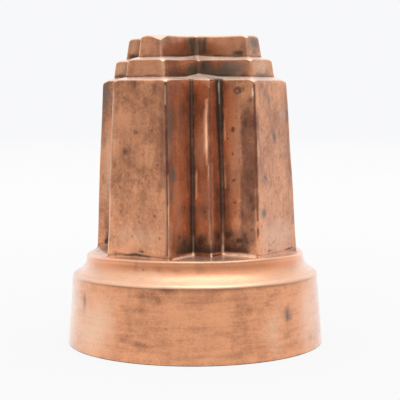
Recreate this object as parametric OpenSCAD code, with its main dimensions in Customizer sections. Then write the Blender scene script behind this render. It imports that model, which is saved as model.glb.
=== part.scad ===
// Copper jelly mould: a flared round rim, a hollow shoulder, and on its ledge a tall tapered
// cross with a square ridge standing out between each two arms. Two smaller crosses step up
// from the top of it. It is raised from one sheet, so it is a single open shell: the inside
// follows the outside at the thickness of the sheet. It stands on its open rim.
// The origin is the centre of the rim's edge, +Z is up, and X and Y run along the arms.

/* [Sheet] */
// Thickness of the copper sheet
sheet_t = 1.1; // [0.8:0.05:1.6]
// Radius inside the bends along the upper edges
bend_r = 0.5; // [0.3:0.1:0.8]
// Number of flats around each bend
bend_flats = 4; // [2:1:8]

/* [Body] */
// Height of the body from the round ledge to its upper edges
body_h = 85.1; // [60:0.5:120]
// Half the span of the body's arms at the ledge
arm_span = 49.2; // [40:0.1:60]
// Half the width of the body's arms at the ledge
arm_width = 18.3; // [15:0.1:22]
// How far the ends of the arms lean in from the ledge to the top
arm_end_draft = 4; // [1:0.1:6]
// How far the sides of the arms lean in from the ledge to the top
arm_side_draft = 3.3; // [1:0.1:5]
// How far the ridges between the arms stand out from the arms' sides, at the ledge
ridge_out = 10.7; // [7:0.1:14]
// How far the faces of the ridges lean in from the ledge to the top
ridge_draft = 3.7; // [1:0.1:5]

/* [Steps] */
// Slope of the steps around the two tiers, which rise inwards
step_slope = 22; // [0:1:28]

/* [Lower tier] */
// Height of the lower tier, from the body's upper edges to its own
tier_a_h = 10.1; // [7:0.1:16]
// Width of the step around its foot at the ends of the arms
tier_a_end_step = 3.9; // [3:0.1:5]
// Width of the step around its foot along the sides of the arms
tier_a_side_step = 4.3; // [3:0.1:5]
// How far its walls lean in at the ends of the arms
tier_a_end_draft = 1.2; // [0.2:0.1:2]
// How far its walls lean in along the sides of the arms
tier_a_side_draft = 0.6; // [0.2:0.1:1]

/* [Upper tier] */
// Height of the upper tier, from the lower tier's upper edges to its top
tier_b_h = 11.9; // [7:0.1:16]
// Width of the step around its foot at the ends of the arms
tier_b_end_step = 3.5; // [3:0.1:5]
// Width of the step around its foot along the sides of the arms
tier_b_side_step = 3.8; // [3:0.1:4.5]
// How far its walls lean in at the ends of the arms
tier_b_end_draft = 1.5; // [0.2:0.1:2]
// How far its walls lean in along the sides of the arms
tier_b_side_draft = 0.7; // [0.2:0.1:1]

/* [Shoulder] */
// Width of the round ledge outside the corners of the arms
ledge_w = 2.7; // [1.8:0.1:6]
// Height of the shoulder, from the crease at the rim to the ledge
shoulder_h = 11.2; // [8:0.2:16]
// Width of the shoulder, from the ledge's edge out to the crease
shoulder_w = 7; // [4:0.1:10]
// Slope of the shoulder where it meets the crease, from the level
shoulder_slope = 31; // [20:1:40]
// Number of flats down the hollow of the shoulder
shoulder_flats = 10; // [6:1:20]

/* [Rim] */
// Height of the rim, from its open edge to the crease
rim_h = 36.5; // [24:0.5:60]
// How far the rim flares out, from the crease down to its edge
rim_flare = 2.8; // [0.5:0.1:5]

/* [Crushed corner] */
// How far one upper corner at the end of the -Y arm is pushed down
crush_depth = 2.5; // [0:0.1:4]
// How far the crushed part reaches along the end of the arm
crush_across = 8; // [5:0.5:11]
// How far the crushed part reaches along the side of the arm
crush_along = 6.5; // [5:0.5:20]

/* [Hidden] */
$fn = 120;
copper = "#c98e6b";
// How far one volume reaches into the next, so that no two of them only touch
lap = 0.4;

// Levels
ledge_z = rim_h + shoulder_h;
body_z = ledge_z + body_h;
tier_a_z = body_z + tier_a_h;
tier_b_z = tier_a_z + tier_b_h;

// Radii
arris_r = bend_r + sheet_t;
ledge_r = norm([arm_span, arm_width]) + ledge_w;
crease_r = ledge_r + shoulder_w;
rim_r = crease_r + rim_flare;

// Half the span and half the width of each cross, and the steps around the tiers
body_foot = [arm_span, arm_width];
body_top = body_foot - [arm_end_draft, arm_side_draft];
ridge_foot = [arm_width + ridge_out, arm_width + ridge_out];
ridge_top = ridge_foot - [ridge_draft, ridge_draft];
step_a = [tier_a_end_step, tier_a_side_step];
tier_a_foot = body_top - step_a;
tier_a_top = tier_a_foot - [tier_a_end_draft, tier_a_side_draft];
step_b = [tier_b_end_step, tier_b_side_step];
tier_b_foot = tier_a_top - step_b;
tier_b_top = tier_b_foot - [tier_b_end_draft, tier_b_side_draft];

// Points of an arc about a centre, from one angle to another.
function arc(centre, r, from, to, flats) =
    [for (i = [0:flats])
        let (a = from + (to - from) * i / flats)
        centre + r * [cos(a), sin(a)]];

// The same points, followed by their mirror images in the line x = 0.
function both_sides(points) =
    concat(points, [for (i = [len(points) - 1:-1:0]) [-points[i].x, points[i].y]]);

function swapped(pair) = [pair.y, pair.x];

// Side view of a block: a wall that leans in from foot to top, a bend of radius r over its
// upper edge, and a step that slopes up over its width and then runs level.
function side_view(foot, top, z_foot, z_top, r, step) =
    let (lean = atan2(foot - top, z_top - z_foot),
         slope = step > 0 ? step_slope : 0,
         centre = [top - r / cos(lean) + r * tan(lean), z_top - r],
         brow = centre + r * [sin(slope), cos(slope)],
         inner = top - max(step, arris_r))
    both_sides(concat([[foot, z_foot]],
                      arc(centre, r, lean, 90 - slope, bend_flats),
                      [[inner, brow.y + (brow.x - inner) * tan(slope)]]));

// A block with four leaning sides. With t at 0 it is the outer form. With t at the sheet's
// thickness it is the hollow inside, which lies one sheet further in and runs on down.
module block(foot, top, z_foot, z_top, step, t) {
    lean = (foot - top) / (z_top - z_foot);
    sink = lap + t;
    low = foot + lean * sink - [t, t];
    high = top + lean * t - [t, t];
    reach = 2 * max(low) + lap;
    intersection() {
        rotate([90, 0, 0])
            linear_extrude(reach, center = true)
                polygon(side_view(low.x, high.x, z_foot - sink, z_top - t,
                                  arris_r - t, step.x));
        rotate([90, 0, 90])
            linear_extrude(reach, center = true)
                polygon(side_view(low.y, high.y, z_foot - sink, z_top - t,
                                  arris_r - t, step.y));
    }
}

// Two equal blocks, crossed.
module cross(foot, top, z_foot, z_top, step, t) {
    block(foot, top, z_foot, z_top, step, t);
    block(swapped(foot), swapped(top), z_foot, z_top, swapped(step), t);
}

// Points down the hollow of the shoulder, from the crease up to the ledge's bend, set in by t
// square to the curve. The curve is level with the ledge's side above and leans out below.
function shoulder_line(t) =
    let (crease = [crease_r, rim_h],
         knee = [ledge_r, rim_h + shoulder_w * tan(shoulder_slope)],
         head = [ledge_r, ledge_z - arris_r])
    [for (i = [0:shoulder_flats])
        let (u = i / shoulder_flats,
             p = (1 - u) * (1 - u) * crease + 2 * u * (1 - u) * knee + u * u * head,
             along = (1 - u) * (knee - crease) + u * (head - knee),
             in = t * [-along.y, along.x] / norm(along))
        [min(p.x + in.x, crease_r - t), p.y + in.y]];

// The flared rim, the hollow shoulder and the round ledge, as a solid or as its hollow.
module round_foot(t) {
    below = t > 0 ? lap : 0;
    rotate_extrude()
        polygon(concat([[0, -below], [rim_r - t, -below]],
                       shoulder_line(t),
                       arc([ledge_r - arris_r, ledge_z - arris_r], arris_r - t, 0, 90,
                           bend_flats),
                       [[0, ledge_z - t]]));
}

// What the knock on one upper corner has taken away: all above a plane that rises from the
// pushed-down corner and meets the top again along the arm's end and along its side.
module crushed_away(t) {
    across_slope = atan(crush_depth / crush_across);
    along_slope = atan(crush_depth / crush_along);
    corner = [tier_b_top.y, -tier_b_top.x, tier_b_z - crush_depth];
    reach = 2 * max(crush_across, crush_along);
    translate(corner)
        rotate([along_slope, across_slope, 0])
            translate([0, 0, reach / 2 - t])
                cube(reach, center = true);
}

// The whole form with t at 0, or all of its hollow with t at the sheet's thickness.
module form(t) {
    round_foot(t);
    cross(body_foot, body_top, ledge_z, body_z, step_a, t);
    block(ridge_foot, ridge_top, ledge_z, body_z, swapped(step_a), t);
    cross(tier_a_foot, tier_a_top, body_z, tier_a_z, step_b, t);
    difference() {
        cross(tier_b_foot, tier_b_top, tier_a_z, tier_b_z, [0, 0], t);
        crushed_away(t);
    }
}

module mould()
    color(copper)
        difference() {
            form(0);
            form(sheet_t);
        }

mould();
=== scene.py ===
"""Copper jelly mould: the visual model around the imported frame, its finishes and its studio.

Lengths are in metres. X and Y run along the arms of the cross, and Z is up from the open rim.
"""

import math

import bmesh
import bpy
import numpy as np
from mathutils import Matrix, Vector, noise


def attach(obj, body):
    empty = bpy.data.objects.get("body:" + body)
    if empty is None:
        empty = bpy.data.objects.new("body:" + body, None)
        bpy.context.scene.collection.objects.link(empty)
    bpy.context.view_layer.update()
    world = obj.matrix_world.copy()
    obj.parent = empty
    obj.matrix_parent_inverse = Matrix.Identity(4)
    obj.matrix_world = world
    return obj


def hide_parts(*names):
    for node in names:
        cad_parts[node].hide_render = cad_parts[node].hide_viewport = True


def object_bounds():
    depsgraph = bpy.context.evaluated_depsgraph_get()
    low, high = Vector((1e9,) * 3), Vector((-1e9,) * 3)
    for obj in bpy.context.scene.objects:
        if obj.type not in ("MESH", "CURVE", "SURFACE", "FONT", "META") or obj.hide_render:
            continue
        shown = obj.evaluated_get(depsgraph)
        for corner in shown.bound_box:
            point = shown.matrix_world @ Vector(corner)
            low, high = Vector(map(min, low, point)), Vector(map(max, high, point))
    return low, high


bl_info = {
    "name": "Copper jelly mould",
    "version": (1, 0, 0),
    "blender": (4, 5, 0),
    "location": "3D View > Sidebar > Mould",
    "description": "Raises a copper jelly mould, gives it its aged finish and sets it in a studio",
    "category": "Add Mesh",
}

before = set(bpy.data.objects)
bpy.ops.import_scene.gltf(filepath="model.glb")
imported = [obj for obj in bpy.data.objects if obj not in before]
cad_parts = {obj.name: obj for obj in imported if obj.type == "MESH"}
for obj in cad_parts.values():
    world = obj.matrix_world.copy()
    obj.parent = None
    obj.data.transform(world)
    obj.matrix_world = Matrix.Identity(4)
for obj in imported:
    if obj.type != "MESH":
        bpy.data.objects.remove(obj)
CAD_LOW, CAD_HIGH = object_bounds()
BODY = "root"
NODE = "mould"
MM = 0.001
# The white of the paper and the room as the camera sees it, far off and near the mould
WHITE = (0.935, 0.937, 0.95, 1.0)
NEAR_WHITE = (0.985, 0.985, 0.988, 1.0)


def length(name, description, default):
    """A size that a user can change, in metres."""
    return bpy.props.FloatProperty(
        name=name, description=description, default=default, unit="LENGTH", precision=5
    )


def lengths(name, description, *default):
    """Two or three sizes of one kind that a user can change, in metres."""
    return bpy.props.FloatVectorProperty(
        name=name, description=description, default=default, size=len(default),
        unit="LENGTH", precision=5
    )


def angle(name, description, degrees):
    """An angle that a user can change."""
    return bpy.props.FloatProperty(
        name=name, description=description, default=math.radians(degrees), subtype="ANGLE"
    )


def colour(name, description, default):
    """A linear colour that a user can change."""
    return bpy.props.FloatVectorProperty(
        name=name, description=description, default=default, subtype="COLOR", size=3, min=0, max=1
    )


def share(name, description, default, high=1.0):
    """A plain number that a user can change, from nothing up."""
    return bpy.props.FloatProperty(
        name=name, description=description, default=default, min=0.0, max=high
    )


class MouldSizes(bpy.types.PropertyGroup):
    """The real sizes of the mould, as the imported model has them."""

    sheet: length("Sheet", "Thickness of the copper", 1.1 * MM)
    rim_radius: length("Rim radius", "Outer radius of the open edge", CAD_HIGH.x - 0.05 * MM)
    rim_flare: length("Rim flare", "How far the rim leans out down to its edge", 2.8 * MM)
    rim_height: length("Rim height", "From the open edge to the crease", 36.5 * MM)
    crease_bend: length("Crease bend", "Radius of the crease over the rim", 1.0 * MM)
    shoulder_width: length("Shoulder width", "From the ledge out to the crease", 7.0 * MM)
    shoulder_height: length("Shoulder height", "From the crease up to the ledge", 11.2 * MM)
    shoulder_rise: length("Shoulder rise", "Where the shoulder's two tangents meet", 4.2 * MM)
    ledge_bend: length("Ledge bend", "Radius of the ledge's edge", 1.3 * MM)
    body_height: length("Body height", "From the ledge to the body's upper edges", 85.2 * MM)
    body_foot: lengths("Body foot", "Half span, half width and half ridge square at the ledge",
                       49.2 * MM, 18.3 * MM, 29.0 * MM)
    body_top: lengths("Body top", "Half span, half width and half ridge square at the top",
                      45.2 * MM, 15.0 * MM, 25.3 * MM)
    lower_height: length("Lower tier", "Height of the lower tier", 9.8 * MM)
    lower_foot: lengths("Lower tier foot", "Half span and half width at its foot",
                        41.3 * MM, 10.7 * MM)
    lower_top: lengths("Lower tier top", "Half span and half width at its top",
                       40.1 * MM, 10.1 * MM)
    upper_height: length("Upper tier", "Height of the upper tier", 11.5 * MM)
    upper_foot: lengths("Upper tier foot", "Half span and half width at its foot",
                        36.6 * MM, 6.3 * MM)
    upper_top: lengths("Upper tier top", "Half span and half width at its top",
                       35.1 * MM, 5.6 * MM)
    step_slope: angle("Step slope", "Slope of the steps around the tiers", 15)
    step_width: length("Step width", "How far in a step keeps rising", 4.0 * MM)
    valley_rise: length("Valley rise", "How far the sheet is drawn up in a valley", 1.5 * MM)
    crush_depth: length("Crushed corner", "How far one upper corner is pushed down", 2.5 * MM)
    crush_across: length("Crush across", "Its reach along the end of the arm", 8.0 * MM)
    crush_along: length("Crush along", "Its reach along the side of the arm", 6.5 * MM)
    body_bend: length("Body bend", "Radius over the body's upper edges", 1.0 * MM)
    lower_bend: length("Lower tier bend", "Radius over the lower tier's upper edges", 1.0 * MM)
    upper_bend: length("Upper tier bend", "Radius over the upper tier's upper edges", 1.2 * MM)
    foot_fillet: length("Foot fillet", "Radius between the ledge and the body", 1.1 * MM)
    worn_corner: lengths("Worn corners", "Wear of the arms' upper corners, from the body up",
                         0.9 * MM, 0.7 * MM, 0.7 * MM)
    rolled_end: lengths("Rolled ends", "How far the -X, +X and -Y arms' top edges are rolled in",
                        1.9 * MM, 1.3 * MM, 0.4 * MM)
    drawn_top: length("Drawn top", "How far the top is drawn up at its valleys", 0.45 * MM)
    sunken_sides: lengths("Sunken sides", "How far the shoulder's left and right sides have sunk",
                          2.8 * MM, 1.8 * MM)
    wide_arm: length("Wide arm", "How far the -Y arm's left side is drawn out at its top", 1.0 * MM)
    waviness: length("Waviness", "How far hammering has left the sheet uneven", 0.22 * MM)
    lean: lengths("Lean", "How far the top has been knocked sideways from the rim",
                  -0.79 * MM, -0.53 * MM)
    pulled_ridge: length("Pulled ridge", "How far one ridge's -Y face is beaten in", 1.6 * MM)
    drawn_tier: length("Drawn tier", "How far the tiers' -X arms are drawn out", 1.0 * MM)
    drawn_arm: length("Drawn arm", "How far the body's arms along X are drawn out", 0.5 * MM)


class MouldFinish(bpy.types.PropertyGroup):
    """The colours of the copper, its tarnish and its lining, and of its painted highlights and
    painted shade.
    """

    copper: colour("Copper", "Bare polished copper", (0.86, 0.375, 0.185))
    # Pale copper: worn edges, and also painted highlights and painted reflections on the shoulder,
    # the rim's sides and the arrises
    pale: colour("Pale copper", "Copper rubbed almost white on an edge", (0.95, 0.64, 0.45))
    # Orange copper: also laid as a painted reflection in a band under the ledge
    orange: colour("Orange copper", "Copper freshly bared in a corner", (0.95, 0.31, 0.12))
    brown: colour("Brown", "Copper under its brown tarnish", (0.42, 0.158, 0.074))
    # Shade line: a dark line painted along the arrises as their dark reflection, under the crease as
    # painted shade, and down the valleys
    seam: colour("Seam", "Dark red-brown line along an arris", (0.15, 0.042, 0.022))
    umber: colour("Umber", "Dark red-brown tarnish", (0.17, 0.055, 0.026))
    slate: colour("Slate", "Blue-grey stains", (0.20, 0.145, 0.12))
    satin: colour("Satin copper", "Copper without its shine", (0.72, 0.31, 0.17))
    olive: colour("Olive", "Greenish dirt by the valleys", (0.12, 0.10, 0.065))
    # Soot: also laid as painted shadow at the lip and at the foot of the -Y arm's end, and as the
    # darkening in the corners and at the walls' feet
    soot: colour("Soot", "Old polish and soot in the corners", (0.05, 0.028, 0.018))
    # Dust and sheen: a real haze, made paler as a painted reflection on what faces up
    dust: colour("Dust", "Dull haze on what faces up", (0.94, 0.77, 0.66))
    # Gleam: a painted highlight along the arrises, which also glows
    gleam: colour("Gleam", "Burnished copper along an arris", (0.93, 0.50, 0.31))
    # Glare: a painted highlight in a valley, which also glows
    glare: colour("Glare", "Lacquer that shines in a valley", (0.94, 0.88, 0.84))
    tin: colour("Tin", "The lining", (0.52, 0.50, 0.46))
    tin_stain: colour("Tin stain", "Stains on the lining", (0.30, 0.26, 0.21))
    paper: colour("Paper", "The floor, in the mould's shadow", (0.52, 0.52, 0.53))


class MouldStage(bpy.types.PropertyGroup):
    """The floor, the lights and the camera."""

    focal: share("Focal length", "Of the lens, in mm on a 36 mm frame", 110.7, 500.0)
    distance: length("Distance", "From the mould's axis to the camera", 625.2 * MM)
    height: length("Height", "Of the camera over the floor", 126.3 * MM)
    azimuth: angle("Azimuth", "Of the camera around the mould", 33.87)
    pitch: angle("Pitch", "How far the camera looks down", 4.982)
    yaw: angle("Yaw", "How far the camera looks past the axis, to the right", 0.244)
    roll: angle("Roll", "How far the camera is rolled", -0.184)
    room_near: share("Room near", "Brightness of the room behind the camera", 0.73, 4.0)
    room_side: share("Room side", "Brightness of the room beside the mould", 1.05, 4.0)
    room_far: share("Room far", "Brightness of the room behind the mould", 1.3, 4.0)
    room_above: share("Room above", "Brightness of the room high over the mould", 1.3, 4.0)
    softbox: share("Softbox", "Brightness of the softbox over the mould", 2.7, 6.0)
    softbox_aside: share("Softbox aside", "How far it hangs to the right, for a height of 1", 0.12)
    softbox_ahead: share("Softbox ahead", "How far it hangs to the front, for a height of 1", 0.05)
    overhead: share("Overhead lamp", "Power of the soft lamp above, in watts", 4.0, 100.0)
    overhead_size: length("Overhead size", "Side of the soft lamp above", 1.8)
    overhead_height: length("Overhead height", "Of the soft lamp over the floor", 1.15)


# Geometry of the shell

# Points of each stretch of a cross's outline
ARM_END_POINTS = 12
ARRIS_POINTS = 7
ARM_SIDE_POINTS = 18
VALLEY_POINTS = 6
RIDGE_POINTS = 8

# Rings of each bend, and rings of each stretch of the two pieces
BEND_RINGS = 6
COPPER_RINGS = {"rim": 34, "shoulder": 14, "ledge": 8, "body": 84, "step": 6, "tier": 12, "cap": 5}
LINING_RINGS = {"rim": 12, "shoulder": 8, "ledge": 5, "body": 20, "step": 4, "tier": 5, "cap": 4}

# Lengths that differ by less than this are taken as equal
SAME = 1e-6
# Points nearer to each other than this are joined
MEETING = 0.002 * MM

# Radii of the arrises and valleys in plan, of the body and of the tiers, outside and inside
CORNER_RADII = {
    False: ((0.6 * MM, 1.0 * MM), (1.2 * MM, 1.5 * MM)),
    True: ((0.3 * MM, 1.9 * MM), (0.6 * MM, 2.2 * MM)),
}
# How much wider the valleys are on the upper tier than on the lower one
VALLEY_GROWTH = 0.35
# Width of the rounding at the open edge
LIP = 0.25 * MM
# Where along the shoulder's hollow the bend at the crease ends
CREASE_END = 0.09
# How far the tiers' walls start above the step, and how far outside their foot it ends
TIER_FILLET = (0.35 * MM, 0.3 * MM)
# The photograph's directions in plan: to its right, and toward its camera
PHOTO_RIGHT = (0.83, 0.557)
PHOTO_FRONT = (0.557, -0.83)
# Darkening along the foot of the body's and of the tiers' walls: its strength and its reach
BODY_FOOT_DARKENING = (0.4, 0.6 * MM)
TIER_FOOT_DARKENING = (0.7, 0.9 * MM)


def spread(count, crowding=0.7):
    """Numbers from 0 to 1 that crowd together at both ends."""
    u = np.linspace(0.0, 1.0, count)
    return (1 - crowding) * u + crowding * (0.5 - 0.5 * np.cos(math.pi * u))


def straight(start, end, count):
    """Points between two others, without those two."""
    t = spread(count + 2)[1:-1, None]
    return np.array(start) * (1 - t) + np.array(end) * t


def bend(corner, before, after, radius, count):
    """Points of an arc that rounds a square corner between two directions."""
    before, after = np.array(before), np.array(after)
    centre = np.array(corner) - before * radius + after * radius
    t = np.linspace(0.0, math.pi / 2, count)[:, None]
    return centre - after * radius * np.cos(t) + before * radius * np.sin(t)


def cross_outline(span, width, ridge, arris, valley):
    """The outline of a cross in plan, with ridges between its arms if ridge is more than width."""
    out, up = (0.0, 1.0), (-1.0, 0.0)
    parts = [
        np.vstack([(span, 0.0), straight((span, 0.0), (span, width - arris), ARM_END_POINTS - 1)]),
        bend((span, width), out, up, arris, ARRIS_POINTS),
    ]
    if ridge > width + SAME:
        parts += [
            straight((span - arris, width), (ridge + valley, width), ARM_SIDE_POINTS),
            bend((ridge, width), up, out, valley, VALLEY_POINTS),
            straight((ridge, width + valley), (ridge, ridge - arris), RIDGE_POINTS),
            bend((ridge, ridge), out, up, arris, ARRIS_POINTS),
            straight((ridge - arris, ridge), (width + valley, ridge), RIDGE_POINTS),
            bend((width, ridge), up, out, valley, VALLEY_POINTS),
            straight((width, ridge + valley), (width, span - arris), ARM_SIDE_POINTS),
        ]
    else:
        fan = 2 * (VALLEY_POINTS + RIDGE_POINTS) + ARRIS_POINTS
        parts += [
            straight((span - arris, width), (width + valley, width), ARM_SIDE_POINTS),
            bend((width, width), up, out, valley, fan),
            straight((width, width + valley), (width, span - arris), ARM_SIDE_POINTS),
        ]
    parts += [
        bend((width, span), out, up, arris, ARRIS_POINTS),
        straight((width - arris, span), (0.0, span), ARM_END_POINTS - 1),
    ]
    quarter = np.vstack(parts)
    turns = [quarter]
    for _ in range(3):
        last = turns[-1]
        turns.append(np.column_stack([-last[:, 1], last[:, 0]]))
    return np.vstack(turns)


class Plan:
    """A cross in plan at one height, with the radii of its arrises and valleys."""

    def __init__(self, span, width, ridge, arris, valley):
        self.span, self.width, self.ridge = span, width, max(ridge, width)
        self.arris, self.valley = arris, valley

    def has_ridge(self):
        return self.ridge > self.width + SAME

    def inset(self, by):
        """The same cross with every side moved in."""
        ridge = self.ridge - by if self.has_ridge() else 0.0
        return Plan(self.span - by, self.width - by, ridge, self.arris, self.valley)

    def toward(self, other, t):
        """The cross part of the way to another."""
        a, b = self, other
        names = ("span", "width", "ridge", "arris", "valley")
        return Plan(*(getattr(a, n) * (1 - t) + getattr(b, n) * t for n in names))

    def outline(self):
        arris = min(self.arris, 0.9 * self.width)
        return cross_outline(self.span, self.width, self.ridge, arris, self.valley)

    def depth(self, points, softness):
        """How deep inside the cross each point lies, with the mitres a little softened."""
        x, y = np.abs(points[:, 0]), np.abs(points[:, 1])
        depths = []
        for half_x, half_y in ((self.span, self.width), (self.width, self.span),
                               (self.ridge, self.ridge)):
            near = np.stack([half_x - x, half_y - y])
            depths.append(-softness * np.log(np.exp(-near / softness).sum(axis=0)))
        return softness * np.log(np.exp(np.stack(depths) / softness).sum(axis=0))


def smooth(low, high, value):
    """0 below low, 1 above high, and a smooth way between."""
    t = np.clip((value - low) / (high - low), 0.0, 1.0)
    return t * t * (3 - 2 * t)


class Skin:
    """Rings of points, from the open rim up to the closed top, with a mark or two on each point."""

    def __init__(self, outline):
        self.outline = outline
        self.away = np.linalg.norm(outline, axis=1)
        self.rings = []
        self.marks = {"edge": [], "arris": [], "nook": []}
        self.tones = {}

    def add(self, plan_points, height, **marks):
        """One ring. The height and each mark are one number or one for each point."""
        count = len(plan_points)
        self.rings.append(np.column_stack([plan_points, np.broadcast_to(height, count)]))
        for name, kept in self.marks.items():
            kept.append(np.array(np.broadcast_to(marks.get(name, 0.0), count), float))

    def round_points(self, radius):
        """A circle with one point in the direction of each point of the outline."""
        return self.outline * (radius / self.away)[:, None]

    def circle(self, radius, height, **marks):
        """One round ring."""
        self.add(self.round_points(radius), height, **marks)


def corner_marks(plan, points):
    """How near each point is to an arris, and how much it is darkened beside a valley, from 0 to 1.
    """
    arris_reach = 0.9 * MM
    darkening_reach = 1.8 * MM
    reflection_reach = 0.35 * MM
    folded = np.abs(points)
    tip = (plan.span, plan.width)
    arrises = [tip, tip[::-1]] + ([(plan.ridge, plan.ridge)] if plan.has_ridge() else [])
    valleys = [(plan.ridge, plan.width), (plan.width, plan.ridge)]

    def gap(places):
        return np.min([np.linalg.norm(folded - np.array(p), axis=1) for p in places], axis=0)

    in_valley = gap(valleys)
    # Darkened a little less along a line in each valley's fillet, where the fillet reflects
    reflection_line = np.exp(-(((in_valley - 0.41 * plan.valley) / reflection_reach) ** 2))
    darkening = 0.85 * np.exp(-((in_valley / darkening_reach) ** 2)) * (1 - 0.1 * reflection_line)
    return np.exp(-((gap(arrises) / arris_reach) ** 2)), darkening


def rise_tier(skin, plan_foot, plan_top, foot, top, radius, slope, rings, darkening):
    """The leaning walls of one cross, from their foot up, and the bend over their upper edge."""
    strength, reach = darkening
    wall_top = top - radius
    rise = top - np.mean(foot)
    lean = (plan_foot.span - plan_top.span) / rise
    base = np.broadcast_to(foot, len(plan_foot.outline()))
    for t in spread(rings, 0.5):
        plan = plan_foot.toward(plan_top, t * (1 - radius / rise))
        points = plan.outline()
        height = base * (1 - t) + wall_top * t
        arris, valley = corner_marks(plan, points)
        # Darker towards the foot of the wall
        foot_darkening = strength * np.exp(-(height - base) / reach)
        skin.add(points, height, arris=arris, nook=np.maximum(valley, foot_darkening))
    for i in range(1, BEND_RINGS + 1):
        turn = (math.pi / 2 - slope) * i / BEND_RINGS
        over = math.sin(turn)
        plan = plan_top.inset(radius * (1 - math.cos(turn)) - radius * lean * (1 - over))
        points = plan.outline()
        arris, valley = corner_marks(plan, points)
        skin.add(points, wall_top + radius * over, edge=over, arris=arris * (1 - over),
                 nook=valley * (1 - over))


def cross_step(skin, outer, inner, brow, sizes, rings):
    """The sloping step from a bend in to the foot of the next cross. Returns the foot's heights."""
    mitre = 0.35 * MM
    easing = 1.1
    valley_reach = 8.0 * MM
    width = sizes.step_width
    start, end = outer.outline(), inner.outline()
    valley = np.array([inner.width, inner.width])
    rise = math.tan(sizes.step_slope)
    for t in spread(rings + 1, 0.4)[1:]:
        points = start * (1 - t) + end * t
        depth = outer.depth(points, mitre) + mitre * math.log(2)
        depth = np.clip(depth, 0.0, None)
        soft_depth = width * np.tanh(depth / width * easing) / math.tanh(easing)
        gap = np.linalg.norm(np.abs(points) - valley, axis=1)
        lift = sizes.valley_rise * np.exp(-gap / valley_reach)
        height = brow + rise * np.minimum(depth, soft_depth) + lift * smooth(0.0, 1.0, t)
        darkened = smooth(0.85, 1.0, t) * 0.35
        skin.add(points, height, edge=(1 - t) * 0.6, nook=darkened)
    return skin.rings[-1][:, 2].copy()


def levels(sizes):
    """The heights of the ledge and of the upper edges of the body, the lower and the upper tier."""
    ledge = sizes.rim_height + sizes.shoulder_height
    body_top = ledge + sizes.body_height
    lower_top = body_top + sizes.lower_height
    return ledge, body_top, lower_top, lower_top + sizes.upper_height


def flare_rim(skin, sizes, t, inside, rings):
    """The rounded lip and the flared rim. Returns the height where the bend at the crease starts."""
    s = sizes
    if inside:
        skin.circle(s.rim_radius - t + LIP / 2, 0.0, edge=0.5)
        skin.circle(s.rim_radius - t, LIP / 2)
    else:
        # The outer lip is darkened: painted contact shadow under the open edge, over the tarnished
        # cut edge of the sheet
        skin.circle(s.rim_radius - LIP, 0.0, nook=1.0)
        skin.circle(s.rim_radius - 0.3 * LIP, 0.3 * LIP, nook=0.9)
        skin.circle(s.rim_radius, LIP, nook=0.7)
    rim_top = s.rim_height - s.crease_bend - t
    for u in spread(rings, 0.6)[1:]:
        height = LIP + (rim_top - LIP) * u
        skin.circle(s.rim_radius - t - s.rim_flare * height / s.rim_height, height)
    return rim_top


def hollow_shoulder(skin, sizes, t, rim_top, rings):
    """The bend at the crease, the hollow shoulder and the ledge's edge. Returns its inner radius."""
    s = sizes
    ledge = levels(s)[0]
    crease_radius = s.rim_radius - s.rim_flare
    ledge_radius = crease_radius - s.shoulder_width
    crease = np.array([crease_radius, s.rim_height])
    knee = np.array([ledge_radius, s.rim_height + s.shoulder_rise])
    head = np.array([ledge_radius, ledge - s.ledge_bend])

    def shoulder(u):
        point = (1 - u) ** 2 * crease + 2 * u * (1 - u) * knee + u * u * head
        along = (1 - u) * (knee - crease) + u * (head - knee)
        square = np.array([along[1], -along[0]]) / np.linalg.norm(along)
        return point - t * square

    below_crease = s.rim_flare * (s.crease_bend + t) / s.rim_height
    wall = np.array([crease_radius - t + below_crease, rim_top])
    first = shoulder(CREASE_END)
    tip = np.array([crease_radius - t, s.rim_height - 0.45 * t])
    for u in np.linspace(0.0, 1.0, BEND_RINGS)[1:]:
        radius, height = (1 - u) ** 2 * wall + 2 * u * (1 - u) * tip + u * u * first
        skin.circle(radius, height, edge=1.0 - 0.6 * abs(u - 0.5))
    for u in np.linspace(CREASE_END, 1.0, rings)[1:]:
        radius, height = shoulder(u)
        # The hollow of the shoulder is darkened a little as painted shade
        in_hollow = math.exp(-(((u - 0.75) / 0.2) ** 2))
        skin.circle(radius, height, edge=0.15 * u, nook=0.1 * in_hollow)
    bend_radius = max(s.ledge_bend - t, 0.3 * MM)
    centre = np.array([ledge_radius - t - bend_radius, ledge - t - bend_radius])
    for turn in np.linspace(0.0, math.pi / 2, BEND_RINGS)[1:]:
        radius, height = centre + bend_radius * np.array([math.cos(turn), math.sin(turn)])
        skin.circle(radius, height, edge=math.sin(turn))
    return centre[0]


def lay_ledge(skin, foot, fillet, brim_radius, height, rings):
    """The level ledge in to the body's foot, and the fillet there."""
    brim = skin.round_points(brim_radius)
    wide = foot.inset(-fillet).outline()
    for u in np.linspace(0.0, 1.0, rings)[1:]:
        skin.add(brim * (1 - u) + wide * u, height, edge=0.5 * (1 - u) ** 3,
                 nook=0.2 * smooth(0.8, 1.0, u))
    for turn in np.radians([22, 45, 68]):
        plan = foot.inset(-fillet * (1 - math.sin(turn)))
        skin.add(plan.outline(), height + fillet * (1 - math.cos(turn)), nook=0.3)


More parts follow.
